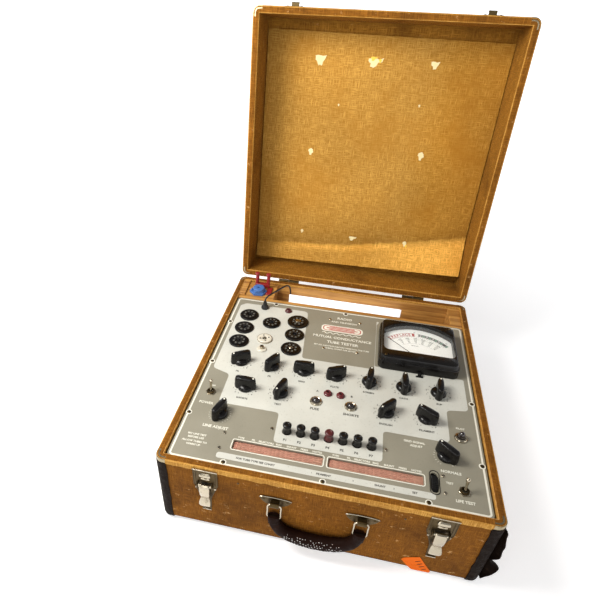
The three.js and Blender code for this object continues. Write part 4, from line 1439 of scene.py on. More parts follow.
def needle_and_glass():
    z = mm_box("meter_needle")[0].z + 2.6
    bm = bmesh.new()
    length = 69.0
    turn = at(*PIVOT, 0, NEEDLE_REST)
    outline = [(-0.45, -9), (0.45, -9), (0.5, 2), (0.34, length * 0.9), (0.08, length), (-0.08, length)]
    outline += [(-0.34, length * 0.9), (-0.5, 2)]
    moved = [(turn @ Vector((x, y, 0))).to_2d() for x, y in outline]
    add_prism(bm, moved, z, z + 0.35)
    add_lathe(bm, [(0, -2), (2.6, -2), (2.9, 0.6), (2.1, 1.2), (0, 1.4)], 20, at(*PIVOT, z))
    add_piece("needle_pointer", bm, "matt_black", "meter_needle", "bakelite", "meter_needle")
    pane = bmesh.new()
    steps = 8
    outline = window_outline(1.0)
    cx, cy = METER_MID_X, (METER_LOW.y + METER_HIGH.y) / 2
    rings = []
    for k in range(steps, 0, -1):
        share = k / steps
        dome = METER_HIGH.z - 5.0 + 2.2 * (1 - share**2)
        rings.append(([(cx + (x - cx) * share, cy + (y - cy) * share) for x, y in outline], dome))
    inner = loft(pane, rings)[-1]
    pane.faces.new(inner)
    add_piece("meter_window_glass", pane, "glass", "base", "meter_glass", smooth=60)


needle_and_glass()


def meter_fittings():
    z = METER_HIGH.z
    screws = bmesh.new()
    for x, y in ((METER_LOW.x + 10, METER_LOW.y + 9), (METER_HIGH.x - 10, METER_HIGH.y - 9)):
        screw_head(screws, x, y, z - 0.3, 2.4, height=1.2)
    add_piece("meter_case_screws", screws, "dull_nickel", "base", "nickel")
    x, y = METER_MID_X + 1, 29
    add_turned(
        "meter_zero_adjuster", [(0, 0), (4.2, 0), (4.2, 0.7), (3.4, 1.2), (0, 1.25)], 24,
        at(x, y, z - 0.2), "matt_black", "base", "bakelite",
    )
    # A near-black bar on the adjuster: its slot is painted shade.
    groove = bmesh.new()
    add_box(groove, (-2.9, -0.4, 0), (2.9, 0.4, 0.12), at(x, y, z + 1.05, 24))
    add_piece("meter_zero_slot", groove, "hole", "base", "bakelite", smooth=0)
    clip = bmesh.new()
    add_box(clip, (119.5, 9.2, TOP + 0.2), (130.5, 12.4, TOP + 1.4))
    add_box(clip, (122.2, 11.0, TOP + 1.2), (127.6, 15.8, TOP + 5.6))
    add_piece("meter_foot_clip", clip, "matt_black", "base", "bakelite", smooth=30, edge=0.4)
    ridge = bmesh.new()
    path = [(METER_MID_X - 30, METER_LOW.y + 2.4, z - 5), (METER_MID_X - 8, METER_LOW.y + 2.2, z - 5)]
    path += [(METER_MID_X + 6, METER_LOW.y + 1.9, z - 6.6), (METER_MID_X + 12, METER_LOW.y + 1.9, z - 6.6)]
    add_tube(ridge, smooth_path(path, 16), 0.5, 8)
    add_piece("meter_mould_line", ridge, "bakelite", "base", "bakelite")


meter_fittings()


# ---------------------------------------------------------------- roll chart and thumbwheel
ENTRY_WIDTHS = (9, 5, 6, 6, 4, 5, 7, 4, 4, 6, 5, 9, 6, 5, 7, 6, 8)


def chart_paper():
    """Printed paper roll behind the windows: ruled columns and rows of short entries."""
    low, high = CHART_LOW, CHART_HIGH
    bm = bmesh.new()
    rows = 14
    loops = []
    for k in range(rows + 1):
        y = low.y + 0.6 + (high.y - low.y - 1.2) * k / rows
        lift = 0.9 * math.sin(math.pi * k / rows)
        loops.append([bm.verts.new((x, y, high.z + lift)) for x in (low.x, 0, high.x)])
    join_rows(bm, loops, closed=False)
    bmesh.ops.solidify(bm, geom=bm.faces[:], thickness=0.35)
    add_piece("chart_paper", bm, "chart", "base", "chart_paper", "roll_chart")
    print_bm = bmesh.new()
    z = high.z + 0.92
    for x0, x1 in WINDOWS:
        for row in range(5):
            y = CHART_Y - WINDOW_HALF + 2.0 + row * 2.75
            x = x0 + 2.2
            for width in ENTRY_WIDTHS:
                if x + width > x1 - 2:
                    break
                inked = width * rng.uniform(0.45, 0.8)
                add_box(print_bm, (x, y - 0.55, z), (x + inked, y + 0.55, z + 0.05))
                x += width + 0.9
        x = x0 + 1.4
        for width in (9.9, 5.9, 6.9, 6.9, 4.9, 5.9, 7.9, 4.9, 4.9, 6.9, 5.9, 9.9, 6.9, 5.9, 7.9, 6.9):
            add_box(print_bm, (x - 0.1, CHART_Y - 7.4, z), (x + 0.1, CHART_Y + 7.4, z + 0.04))
            x += width
            if x > x1 - 2:
                break
    add_piece("chart_entries", print_bm, "chart_ink", "base", "chart_paper", smooth=0)


chart_paper()


WHEEL_WIDTH = 8.0


def thumbwheel():
    node = "chart_thumbwheel"
    _, y, z = joint_place(JOINTS["chart_thumbwheel_spin"])
    low, high = mm_box(node)
    radius = (high.z - low.z) / 2
    width = WHEEL_WIDTH
    bm = bmesh.new()
    teeth = 44
    profile = [(-width / 2, 0.9), (-width / 2 + 0.7, 0.25), (0, 0), (width / 2 - 0.7, 0.25), (width / 2, 0.9)]
    rings = []
    for offset, inset in profile:
        ring = []
        for k in range(teeth * 4):
            a = 2 * math.pi * k / (teeth * 4)
            r = radius - inset - (0.75 if k % 4 in (0, 3) else 0.0)
            ring.append(bm.verts.new((high.x - width / 2 + offset, y + r * math.cos(a), z + r * math.sin(a))))
        rings.append(ring)
    join_rows(bm, rings)
    bm.faces.new(rings[0])
    bm.faces.new(rings[-1])
    end = high.x - width + 1
    add_lathe(bm, [(0, low.x), (5.4, low.x), (5.4, end), (0, end)], 20, along("X", 0, y, z))
    add_piece("chart_wheel", bm, "matt_black", node, "bakelite", node, smooth=25)


def thumbwheel_slot_rim():
    """A thin pressed rim round the slot the thumbwheel stands in."""
    x = mm_box("chart_thumbwheel")[1].x - WHEEL_WIDTH / 2
    outer, inner = (
        rounded(x - half, x + half, CHART_Y - reach, CHART_Y + reach, r, 8)
        for half, reach, r in ((6.2, 18.0, 6.0), (5.6, 17.2, 5.4))
    )
    rim = bmesh.new()
    add_prism(rim, outer, TOP + 0.15, TOP + 0.8, [inner])
    add_piece("thumbwheel_slot_rim", rim, "matt_black", "base", "nickel", smooth=20)


thumbwheel()
thumbwheel_slot_rim()


# ---------------------------------------------------------------- printed words and numbers
def panel_words():
    light = [
        ("ON", -181, -82, 3.4), ("POWER", -180.6, -118, 4.4), ("LINE ADJUST", -154.5, -159, 4.6),
        ("NORMALS", 158, -162, 4.0), ("TEST", 155, -179, 3.0), ("LIFE TEST", 171.6, -202.5, 4.0),
        ("PILOT", 177, -84, 3.2), ("GRID SIGNAL", 113.6, -122.5, 3.4), ("ADJUST", 116, -129, 3.4),
    ]
    light += [
        ("SET LINE TEST", -174.5, -177, 3.0), ("BEFORE USE", -174.5, -182.4, 3.0),
        ("ALLOW TUBES TO", -174.5, -189, 3.0), ("WARM UP", -174.5, -194.4, 3.0),
    ]
    headings = ("TYPE", "FIL", "SELECTORS", "BIAS", "SHUNT", "PRESS", "NOTES")
    for x0, x1 in WINDOWS:
        for k, word in enumerate(headings):
            light.append((word, x0 + (x1 - x0) * (k + 0.5) / len(headings), CHART_Y + 12.3, 2.9))
    light += [
        ("RADIO", -1, 135, 6.2), ("AND TELEVISION", -1, 123.5, 4.2),
        ("MUTUAL CONDUCTANCE", -1, 77.5, 6.0), ("TUBE TESTER", 1, 64.5, 6.4),
        ("SET ALL CONTROLS BEFORE INSERTING THE TUBE", 0, 53.5, 2.9),
        ("SEE ROLL CHART FOR SETTINGS", 0, 47.5, 2.9),
    ]
    show(lettering("panel_words_light", light, "white_ink", TOP + 0.03), "base", "panel_paint")
    dark = [
        ("FUSE", -25.8, -94, 4.4), ("SHORTS", 26.4, -94, 4.4), ("A", -26, -57, 3.8),
        ("B", 25, -57, 3.8),
    ]
    for k, joint in enumerate(BUTTON_JOINTS):
        dark.append((f"P{k + 1}", node_centre(joint["child"])[0], -159.5, 3.8))
    for x, word in ((-88, "FOR TUBE TYPE SEE CHART"), (0, "FILAMENT"), (70, "SHUNT"), (112, "SET")):
        dark.append((word, x, -203, 3.0))
    dark += [("1", -15, -203, 2.0), ("2", 37, -203, 2.0), ("3", 87, -203, 2.0)]
    labels = {
        "selector_knob_1": "FIL", "selector_knob_2": "FIL", "selector_knob_3": "GRID",
        "selector_knob_4": "PLATE", "selector_knob_5": "SCREEN", "selector_knob_6": "CATH",
        "selector_knob_7": "SUP", "selector_knob_8": "SHORTS", "selector_knob_9": "TEST",
        "shunt_knob": "ENGLISH", "filament_knob": "FILAMENT",
    }
    for joint in KNOB_JOINTS:
        node = joint["child"]
        x, y, _ = joint_place(joint)
        on_cream = not (abs(x) > 150 and y < -100)
        if on_cream and node in labels:
            dark.append((labels[node], x, y - 22.5, 3.4))
        if on_cream:
            for k in range(10):
                angle = 135 - 30 * k
                a = math.radians(angle)
                dark.append((str(k), x - 17.6 * math.sin(a), y + 17.9 * math.cos(a), 2.5))
    show(lettering("panel_words_dark", dark, "dark_ink", TOP + INK + 0.03), "base", "panel_paint")


panel_words()


def title_badge():
    """A plain lozenge in the title block: pale field with a ruled red edge and three bars."""
    x, y = -3, 103

    def lozenge(half_x, half_y, r):
        corners = ((-half_x, half_y), (-half_x, -half_y), (half_x, -half_y), (half_x, half_y))
        return fillet([(x + a, y + b, r) for a, b in corners], 6)

    field, inner = lozenge(36, 9, 8), lozenge(33, 6.6, 6)
    printed("title_field", "white_ink", [(field, [])])
    red = bmesh.new()
    z = TOP + INK + 0.03
    add_prism(red, inner, z, z + INK, [[(x + (a - x) * 0.955, y + (b - y) * 0.86) for a, b in inner]])
    for k, half in ((-1, 22), (0, 27), (1, 22)):
        middle = y + k * 3.5
        add_prism(red, rounded(x - half, x + half, middle - 0.95, middle + 0.95, 0.8, 3), z, z + INK)
    add_piece("title_rules", red, "red_ink", "base", "panel_paint", smooth=0)
    wave = bmesh.new()
    path = [(x - 33 + 66 * k / 40, y - 13.8 + 1.9 * math.sin(k * 0.95), TOP + 0.1) for k in range(41)]
    add_tube(wave, smooth_path(path, 160), 0.75, 6, squash=(1.0, 0.2))
    add_piece("title_wave", wave, "white_ink", "base", "panel_paint")


title_badge()


# ---------------------------------------------------------------- compartment behind the panel
def wood_node(node, name):
    """The CAD part's own shape with softened edges and bare wood."""
    piece = node_copy(node, name, "wood")
    box_uv(piece.data)
    return bevel(piece, 0.8, 2, 50)


show(wood_node("compartment_divider", "divider_board"), "base", "bare_wood", "compartment_divider")
show(wood_node("compartment_shelf", "shelf_board"), "base", "bare_wood", "compartment_shelf")
INNER_BACK = HALF_D - WALL
BOOKLET_SHEETS = 5


def compartment_fittings():
    cleats = bmesh.new()
    add_box(cleats, (185, 166.6, FLOOR_T + 0.3), (205.2, INNER_BACK - 0.4, 126.4))
    add_piece("compartment_end_block", cleats, "wood", "base", "bare_wood", smooth=30, edge=0.9)
    strip = bmesh.new()
    add_box(strip, (-205.2, 166.9, 127.2), (-194, INNER_BACK - 0.6, 130.6))
    add_piece("shelf_edge_strip", strip, "wood", "base", "bare_wood", smooth=30, edge=0.6)
    pages = bmesh.new()
    for k in range(BOOKLET_SHEETS):
        shift = k * 0.62
        columns = []
        for i in range(13):
            x = -113 + 211 * i / 12 + rng.uniform(-0.2, 0.2)
            column = []
            for j in range(7):
                t = j / 6
                bow = 2.2 * math.sin(math.pi * t) * (0.4 + 0.6 * math.sin(math.pi * i / 12))
                y = 167.8 + 32.5 * t + shift + bow
                z = 9.0 + (112.5 - 0.6 * k) * t
                column.append(pages.verts.new((x + 0.8 * k * t, y, z)))
            columns.append(column)
        for a, b in zip(columns, columns[1:]):
            for j in range(6):
                pages.faces.new((a[j], b[j], b[j + 1], a[j + 1]))
    bmesh.ops.solidify(pages, geom=pages.faces[:], thickness=0.32)
    add_piece("tube_data_booklet", pages, "paper", "base", "booklet_paper", smooth=30)


compartment_fittings()


def accessory():
    """Pin straightener block: a blue disc on a six-sided foot and a red two-prong fork beside it."""
    x, y, z = -171, 183, 127.2
    blue = bmesh.new()
    turns = [60 * k + 8 for k in range(6)]
    hexagon = [on_circle(math.radians(turn), 17, 14) for turn in turns]
    add_prism(blue, [(x + a, y + b) for a, b in hexagon], z, z + 5)
    profile = [(2.6, 5), (2.6, 12.5), (3.2, 13.2), (9.6, 13.2), (10.8, 12.4), (11.0, 7.6), (10.0, 5)]
    add_lathe(blue, [*profile, (2.6, 5)], 36, at(x + 1, y - 1, z))
    for turn in turns:
        a, b = on_circle(math.radians(turn), 12.6, 11)
        add_box(blue, (-1.2, -2.4, 4.8), (1.2, 2.4, 8.4), at(x + a, y + b, z, turn))
    add_piece("straightener_base", blue, "blue_plastic", "base", "blue_plastic", smooth=40, edge=0.6)
    red = bmesh.new()
    back = y + 18
    add_box(red, (x - 9.5, back - 4, z + 4.4), (x + 18.5, back + 4, z + 10.6))
    for px in (x - 6.2, x + 15.4):
        path = [(px, back, z + 7), (px, back + 0.4, z + 16), (px + 0.4, back + 1, z + 25)]
        path.append((px, back + 1.4, z + 31))
        add_tube(red, smooth_path(path, 10), 3.4, 12)
        tip = [(0, 0), (4.0, 0), (4.4, 1.2), (4.4, 3.4), (3.6, 4.6), (0, 4.8)]
        add_lathe(red, tip, 18, at(px, back + 1.4, z + 28))
    add_box(red, (x + 15, y - 6, z + 0.1), (x + 25, y + 19, z + 3.2))
    add_piece("straightener_fork", red, "red_plastic", "base", "red_plastic", smooth=40, edge=0.6)


accessory()


# ---------------------------------------------------------------- latches
FRONT = -HALF_D
PLATE_OUTLINE = [
    (-16.5, 126.4), (-16.5, 97), (-15, 92), (-8.5, 73), (-7, 66), (-6, 44), (-5, 43), (5, 43), (6, 44),
    (7, 66), (8.5, 73), (15, 92), (16.5, 97), (16.5, 126.4),
]
RAIL = ((15.9, 126), (15.9, 97), (14.4, 92.2), (8.0, 73.5), (6.5, 66.5), (5.5, 44.5))
UP_FRONT = Matrix.Rotation(math.pi / 2, 4, "X")


def front_prism(bm, outline, depth0, depth1, holes=()):
    """A prism drawn in X and Z on the front face, from depth0 to depth1 out of it."""
    verts = add_prism(bm, outline, depth0, depth1, holes)
    place = Matrix.Translation((0, FRONT, 0)) @ UP_FRONT
    island = set(verts)
    stack = list(verts)
    while stack:
        for edge in stack.pop().link_edges:
            for vert in edge.verts:
                if vert not in island:
                    island.add(vert)
                    stack.append(vert)
    bmesh.ops.transform(bm, matrix=place, verts=list(island))


def strip_mesh(bm, stations, thick):
    """A bent metal strip: stations are (z, half width, distance out of the front) down its length."""
    rows = []
    for z, half, out in stations:
        y = FRONT - out
        row = []
        for x, crown in ((-half, 0.9), (-half * 0.72, 0.25), (0, 0), (half * 0.72, 0.25), (half, 0.9)):
            row.append(bm.verts.new((x, y + crown, z)))
        rows.append(row)
    faces = join_rows(bm, rows, closed=False)
    bmesh.ops.recalc_face_normals(bm, faces=faces)
    bmesh.ops.solidify(bm, geom=faces, thickness=thick)


def latch(label, joint):
    x, _, pivot_z = joint_place(joint)
    node = joint["child"]

    def latch_piece(name, bm, material, smooth, edge, body, *replaced):
        """Shows one piece of the latch, which is drawn about X = 0."""
        piece = bevel(from_bmesh(f"{label}_{name}", bm, material, smooth), edge, 2)
        piece.data.transform(Matrix.Translation((x * MM, 0, 0)))
        show(piece, body, "nickel", *replaced)

    plate = bmesh.new()
    front_prism(plate, PLATE_OUTLINE, 0.35, 1.1)
    for side in (-1, 1):
        add_tube(plate, smooth_path([(side * a, FRONT - 1.2, b) for a, b in RAIL], 30), 0.55, 8)
        mid = side * 10
        add_box(plate, (mid - 0.8, FRONT - 7.2, pivot_z - 4.2), (mid + 0.8, FRONT - 0.8, pivot_z + 3.8))
        add_box(plate, (side * 12.9 - 0.5, FRONT - 1.9, 96), (side * 12.9 + 0.5, FRONT - 0.9, 124))
    latch_piece("plate", plate, "dull_nickel", 30, 0.3, "base", f"latch_plate_{label.split('_')[1]}")
    lips = bmesh.new()
    add_box(lips, (-16.7, FRONT - 3.0, 125.4), (16.7, FRONT - 0.4, 126.9))
    add_box(lips, (-6.2, FRONT - 2.6, 42.4), (6.2, FRONT - 0.4, 44.0))
    tongue = [
        (119.5, 5.2, 1.4), (117.5, 7.2, 3.4), (114.5, 7.6, 4.0), (112.6, 5.6, 3.2), (110.6, 4.6, 2.4),
        (107.8, 6.4, 2.6),
    ]
    strip_mesh(lips, tongue, 0.9)
    for side in (-1, 1):
        screw_profile = [(0, 0), (1.7, 0), (1.7, 0.5), (1.2, 1.1), (0, 1.3)]
        add_lathe(lips, screw_profile, 14, along("-Y", side * 12.6, FRONT - 1.0, 88 if side < 0 else 90))
    latch_piece("spring_and_lips", lips, "nickel", 40, 0.25, "base")
    lever = bmesh.new()
    stations = [
        (100.2, 5.6, 4.2), (101.2, 6.2, 6.2), (100.0, 6.7, 8.2), (96, 7.0, 9.4), (90, 6.9, 9.6),
        (83, 6.4, 9.0), (78, 5.8, 8.0), (75, 5.8, 7.4), (72.5, 6.8, 8.6), (69, 7.6, 10.2), (65, 7.8, 11.0),
        (61.5, 7.2, 10.4), (59.6, 6.0, 8.6),
    ]
    strip_mesh(lever, stations, 1.1)
    add_lathe(lever, [(0, -8.6), (2.1, -8.6), (2.1, 8.6), (0, 8.6)], 16, along("X", 0, FRONT - 4.6, pivot_z))
    for edge in (-1, 1):
        add_box(lever, (edge * 6.2 - 0.4, FRONT - 8.4, 82), (edge * 6.2 + 0.4, FRONT - 3.2, 98))
    latch_piece("lever_strip", lever, "nickel", 45, 0.25, node, node)


latch("latch_left", JOINTS["latch_left_swing"])
latch("latch_right", JOINTS["latch_right_swing"])


def lid_strikes():
    for side in ("left", "right"):
        node = f"latch_strike_{side}"
        x = {"left": -150.0, "right": 147.5}[side]
        foot = RIM_Z + LID_SEAM + 3
        bm = bmesh.new()
        outline = rounded(x - 15.5, x + 15.5, foot, foot + 26, 3)
        front_prism(bm, outline, 0.35, 1.35)
        add_box(bm, (x - 6, FRONT - 8, foot + 10), (x + 6, FRONT - 1.2, foot + 11.4))
        add_box(bm, (x - 6, FRONT - 8, foot + 10), (x + 6, FRONT - 6.8, foot + 18))
        for sx, sz in ((-11, 5), (11, 5), (-11, 21), (11, 21)):
            screw = [(0, 0), (2, 0), (1.6, 0.8), (0, 1.1)]
            add_lathe(bm, screw, 14, along("-Y", x + sx, FRONT - 1.3, foot + sz))
        lid_piece(bevel(from_bmesh(f"{node}_plate", bm, "dull_nickel", 30), 0.3, 2), "nickel", node)


lid_strikes()


# ---------------------------------------------------------------- handle
HANDLE_X = 55.0
HANDLE_PIVOT = Vector(JOINTS["handle_swing"]["pos_m"]) / MM
LOOP_HALF = 8.6
WIRE_R = 1.4
GRIP_SIDES = 20


def handle_plate(side):
    x = side * HANDLE_X
    bm = bmesh.new()
    outline = []
    for k in range(13):
        a = math.pi * k / 12
        outline.append((x + 21 * math.cos(a), 96 + 2.6 * math.sin(a)))
    for k in range(1, 10):
        a = math.pi + math.pi * k / 10
        outline.append((x + 21 * math.cos(a) * abs(math.cos(a)) ** 0.2 * 0.97, 96 + 15.6 * math.sin(a)))
    front_prism(bm, outline, 0.35, 1.4)
    y, z = HANDLE_PIVOT.y, HANDLE_PIVOT.z
    add_box(bm, (x - 5.8, y + 1.5, z - 2.4), (x + 5.8, FRONT - 0.8, z + 2.4))
    saddle = [(WIRE_R + 0.45, -5.9), (3.4, -5.9), (3.4, 5.9), (WIRE_R + 0.45, 5.9), (WIRE_R + 0.45, -5.9)]
    add_lathe(bm, saddle, 24, along("X", x, y, z))
    for dx in (-15.5, 15.5):
        add_lathe(bm, [(0, 0), (2.0, 0), (1.7, 0.7), (0, 1.1)], 14, along("-Y", x + dx, FRONT - 1.35, 92.5))
    label = "left" if side < 0 else "right"
    piece = bevel(from_bmesh(f"handle_escutcheon_{label}", bm, "dull_nickel", 32), 0.25, 2)
    show(piece, "base", "nickel", f"handle_plate_{label}")
    edge = bmesh.new()
    arch = [on_circle(math.pi * k / 16, 20.6, 2.6) for k in range(17)]
    add_tube(edge, [(x + a, FRONT - 1.5, 96.1 + b) for a, b in arch], 0.6, 8)
    add_piece(f"handle_plate_edge_{label}", edge, "nickel", "base", "nickel")


for side in (-1, 1):
    handle_plate(side)


def grip_size(t):
    """Half the grip's width and depth, from one end (0) to the other (1)."""
    middle = math.sin(math.pi * t)
    return 8.0 + 2.4 * middle**2, 4.9 + 3.4 * middle**0.6


def handle_grip():
    """A stitched leather grip, thick in the hand and drawn in at its ends, on two wire loops."""
    y = HANDLE_PIVOT.y
    wires = bmesh.new()
    for side in (-1, 1):
        x = side * HANDLE_X
        top, foot, h = HANDLE_PIVOT.z, 64.6, LOOP_HALF
        corners = [(x - h, foot), (x + h, foot), (x + h, top), (x - h, top)]
        path = []
        for i, (cx, cz) in enumerate(corners):
            nx, nz = corners[(i + 1) % 4]
            for t in (0.12, 0.3, 0.5, 0.7, 0.88):
                path.append(Vector((cx + (nx - cx) * t, y, cz + (nz - cz) * t)))
        path.append(path[0].copy())
        add_tube(wires, smooth_path(path, 60), WIRE_R, 10)
    add_piece("handle_wire_loops", wires, "nickel", "handle", "nickel", smooth=60)
    route = [(-55, 69), (-54.4, 60), (-50, 49), (-43, 41), (-31, 35), (-16, 31.6), (0, 30.6)]
    route += [(-px, pz) for px, pz in route[-2::-1]]
    line = smooth_path([(px, y, pz) for px, pz in route], 120)
    bm = bmesh.new()
    rings = []
    for i, point in enumerate(line):
        t = i / (len(line) - 1)
        ahead = line[min(i + 1, len(line) - 1)] - line[max(i - 1, 0)]
        tangent = ahead.normalized()
        out = Vector((0, 1, 0))
        side = tangent.cross(out)
        half_wide, half_deep = grip_size(t)
        lumps = 0.35 * noise.noise(point * 0.11) + 0.15 * noise.noise(point * 0.45)
        ring = []
        for k in range(GRIP_SIDES):
            a = 2 * math.pi * k / GRIP_SIDES
            c, s = math.cos(a), math.sin(a)
            square = 1 / max(abs(c), abs(s)) ** 0.35
            offset = side * c * (half_wide + lumps) * square + out * s * (half_deep + lumps) * square
            seam = 0.6 if abs(abs(c) - 0.82) < 0.1 and s < 0 and 0.05 < t < 0.95 else 0.0
            ring.append(bm.verts.new(point + offset * (1 - 0.06 * seam) - out * max(0.0, half_deep - 6.4)))
        rings.append(ring)
    join_rows(bm, rings)
    bm.faces.new(rings[0])
    bm.faces.new(rings[-1])
    add_piece("handle_leather_grip", bm, "handle_leather", "handle", "handle_leather", "handle", smooth=60)
    folds = bmesh.new()
    for side in (-1, 1):
        x = side * HANDLE_X
        fold = [(0, -6.4), (3.9, -6.4), (4.3, -5), (4.4, 5), (3.9, 6.4), (0, 6.4)]
        add_lathe(folds, fold, 20, along("X", x, y, 65))
        add_box(folds, (x - 6.4, y - 3.9, 54), (x + 6.4, y + 3.6, 66))
    options = {"smooth": 40, "edge": 0.8, "segments": 3}
    add_piece("handle_end_folds", folds, "leather", "handle", "handle_leather", **options)
    # Pale stitches on the grip's front: real thread, whose white also stands in for painted glints on the
    # leather.
    stitches = bmesh.new()
    lower, upper = int(len(line) * 0.24), int(len(line) * 0.76)
    for i in range(lower, upper):
        point = line[i]
        tangent = (line[i + 1] - line[i - 1]).normalized()
        side = tangent.cross(Vector((0, 1, 0)))
        wide, deep = grip_size(i / (len(line) - 1))
        for row in (-18, 4, 26, 48):
            if (i + row) % 3 or rng.random() < 0.25:
                continue
            lean = math.radians(row + rng.uniform(-8, 8))
            c, q = math.sin(lean), -math.cos(lean)
            square = 1 / max(abs(c), abs(q)) ** 0.35
            spot = point + side * c * wide * square
            spot.y += q * (deep + 0.1) * square - max(0.0, deep - 6.4)
            spin = Matrix((tangent, Vector((0, 1, 0)), side)).transposed().to_4x4()
            length = rng.uniform(0.3, 0.8)
            add_box(stitches, (-length, -0.35, -0.3), (length, 0.35, 0.3), Matrix.Translation(spot) @ spin)
    add_piece("handle_stitches_and_glints", stitches, "thread", "handle", "handle_leather", smooth=40, edge=0.15)


handle_grip()


# ---------------------------------------------------------------- hinges
def hinge_pair():
    for label in ("left", "right"):
        for kind in ("base", "lid"):
            node = f"hinge_{kind}_{label}"
            leaf = node_copy(node, f"{node}_leaf", "dull_nickel")
            show(bevel(leaf, 0.25, 2, 40), kind, "nickel", node)
        x = 120.0 * (-1 if label == "left" else 1)
        for kind, z in (("base", RIM_Z - 15), ("lid", RIM_Z + LID_SEAM + 15)):
            bm = bmesh.new()
            for dx in (-14, 0, 14):
                screw = [(0, 0), (2.1, 0), (1.7, 0.7), (0, 1.0)]
                add_lathe(bm, screw, 14, along("Y", x + dx, HALF_D + 1.5, z))
            screws = from_bmesh(f"hinge_screws_{kind}_{label}", bm, "nickel")
            if kind == "lid":
                lid_piece(screws, "nickel")
            else:
                show(screws, "base", "nickel")


hinge_pair()


# ---------------------------------------------------------------- lid liner and its torn paper
LINER_TOP = LID_END_Z - LID_TOP_T - 0.4
CREASE = [(-203, 47), (-158, 51), (-29, 59), (95, 80), (205, 104)]


def crease_at(x):
    for (x0, s0), (x1, s1) in zip(CREASE, CREASE[1:]):
        if x <= x1:
            return s0 + (s1 - s0) * (x - x0) / (x1 - x0)
    return CREASE[-1][1]


def liner_lift(x, s):
    """How far the sheet stands off the lid's top: it bows out below its crease."""
    below = max(0.0, crease_at(x) - s)
    slack = 0.5 + 0.5 * noise.noise(Vector((x * 0.012, s * 0.012, 3)))
    flare = 0.16 + 0.14 * min(1.0, max(0.0, (x + 203) / 408))
    return below * flare + 1.2 * slack + 0.5 * noise.noise(Vector((x * 0.04, s * 0.04, 7)))


def fold_tint(mesh):
    """Paints light and shade on the sheet: painted light where it bows out below its crease, a painted
    highlight just below the crease, painted shade just above it and towards the top, and a warmer, slightly
    darker tone at the right.
    """
    tint = mesh.color_attributes.new(name="fold", type="FLOAT_COLOR", domain="POINT")
    for vertex, entry in zip(mesh.vertices, tint.data):
        x, s = vertex.co.x / MM, HALF_D - vertex.co.y / MM
        below = crease_at(x) - s
        # Painted light: the sheet is lightened where it bows out below the crease, with a painted highlight
        # running just below the crease.
        pale = min(1.0, max(0.0, below / 12)) * (0.12 + 0.62 * min(1.0, max(0.0, (x + 60) / 200)))
        ends = min(1.0, max(0.0, (x + 175) / 70)) * min(1.0, max(0.0, (110 - x) / 60))
        painted_crease_highlight = 0.55 * math.exp(-(((below - 5) / 7) ** 2)) * ends
        # Painted shade: darker just above the crease, and painted shadow towards the top of the sheet under
        # the lid's top wall.
        painted_crease_shade = 0.3 * math.exp(-max(0.0, -below) / 16) if below < 0 else 0.0
        top = 0.2 * min(1.0, max(0.0, (s - 385) / 45))
        right = min(1.0, max(0.0, (x - 70) / 50)) * (0 if below > 0 else 1)
        patchy = 1 + 0.16 * noise.noise(Vector((x * 0.009, s * 0.009, 2)))
        level = (1 + pale + painted_crease_highlight) * (1 - painted_crease_shade) * (1 - top) * patchy
        entry.color = (level * (1 - 0.04 * right), level * (1 - 0.1 * right), level * (1 - 0.28 * right), 1)


def liner_sheet():
    bm = bmesh.new()
    columns, rows = 72, 110
    grid = []
    for j in range(rows + 1):
        t = j / rows
        row = []
        for i in range(columns + 1):
            u = i / columns
            left = -204.0 + 1.0 * (1 - t)
            right = 204.3 - 0.8 * (1 - t)
            fray = 0.7 * noise.noise(Vector((u * 40, t * 40, 1)))
            x = left + (right - left) * u + (fray if i in (0, columns) else 0)
            low = 17 + 13.0 * u**1.5
            high = 431.5 - 4.5 * u
            s = low + (high - low) * t + (fray if j in (0, rows) else 0)
            row.append(bm.verts.new((x, HALF_D - s, LINER_TOP - 1.6 - liner_lift(x, s))))
        grid.append(row)
    join_rows(bm, grid, closed=False)
    bmesh.ops.recalc_face_normals(bm, faces=bm.faces[:])
    bmesh.ops.solidify(bm, geom=bm.faces[:], thickness=1.2)
    sheet = from_bmesh("liner_cloth_board", bm, "tweed_liner", 60)
    fold_tint(sheet.data)
    lid_piece(sheet, "liner_fabric", "lid_liner")


liner_sheet()


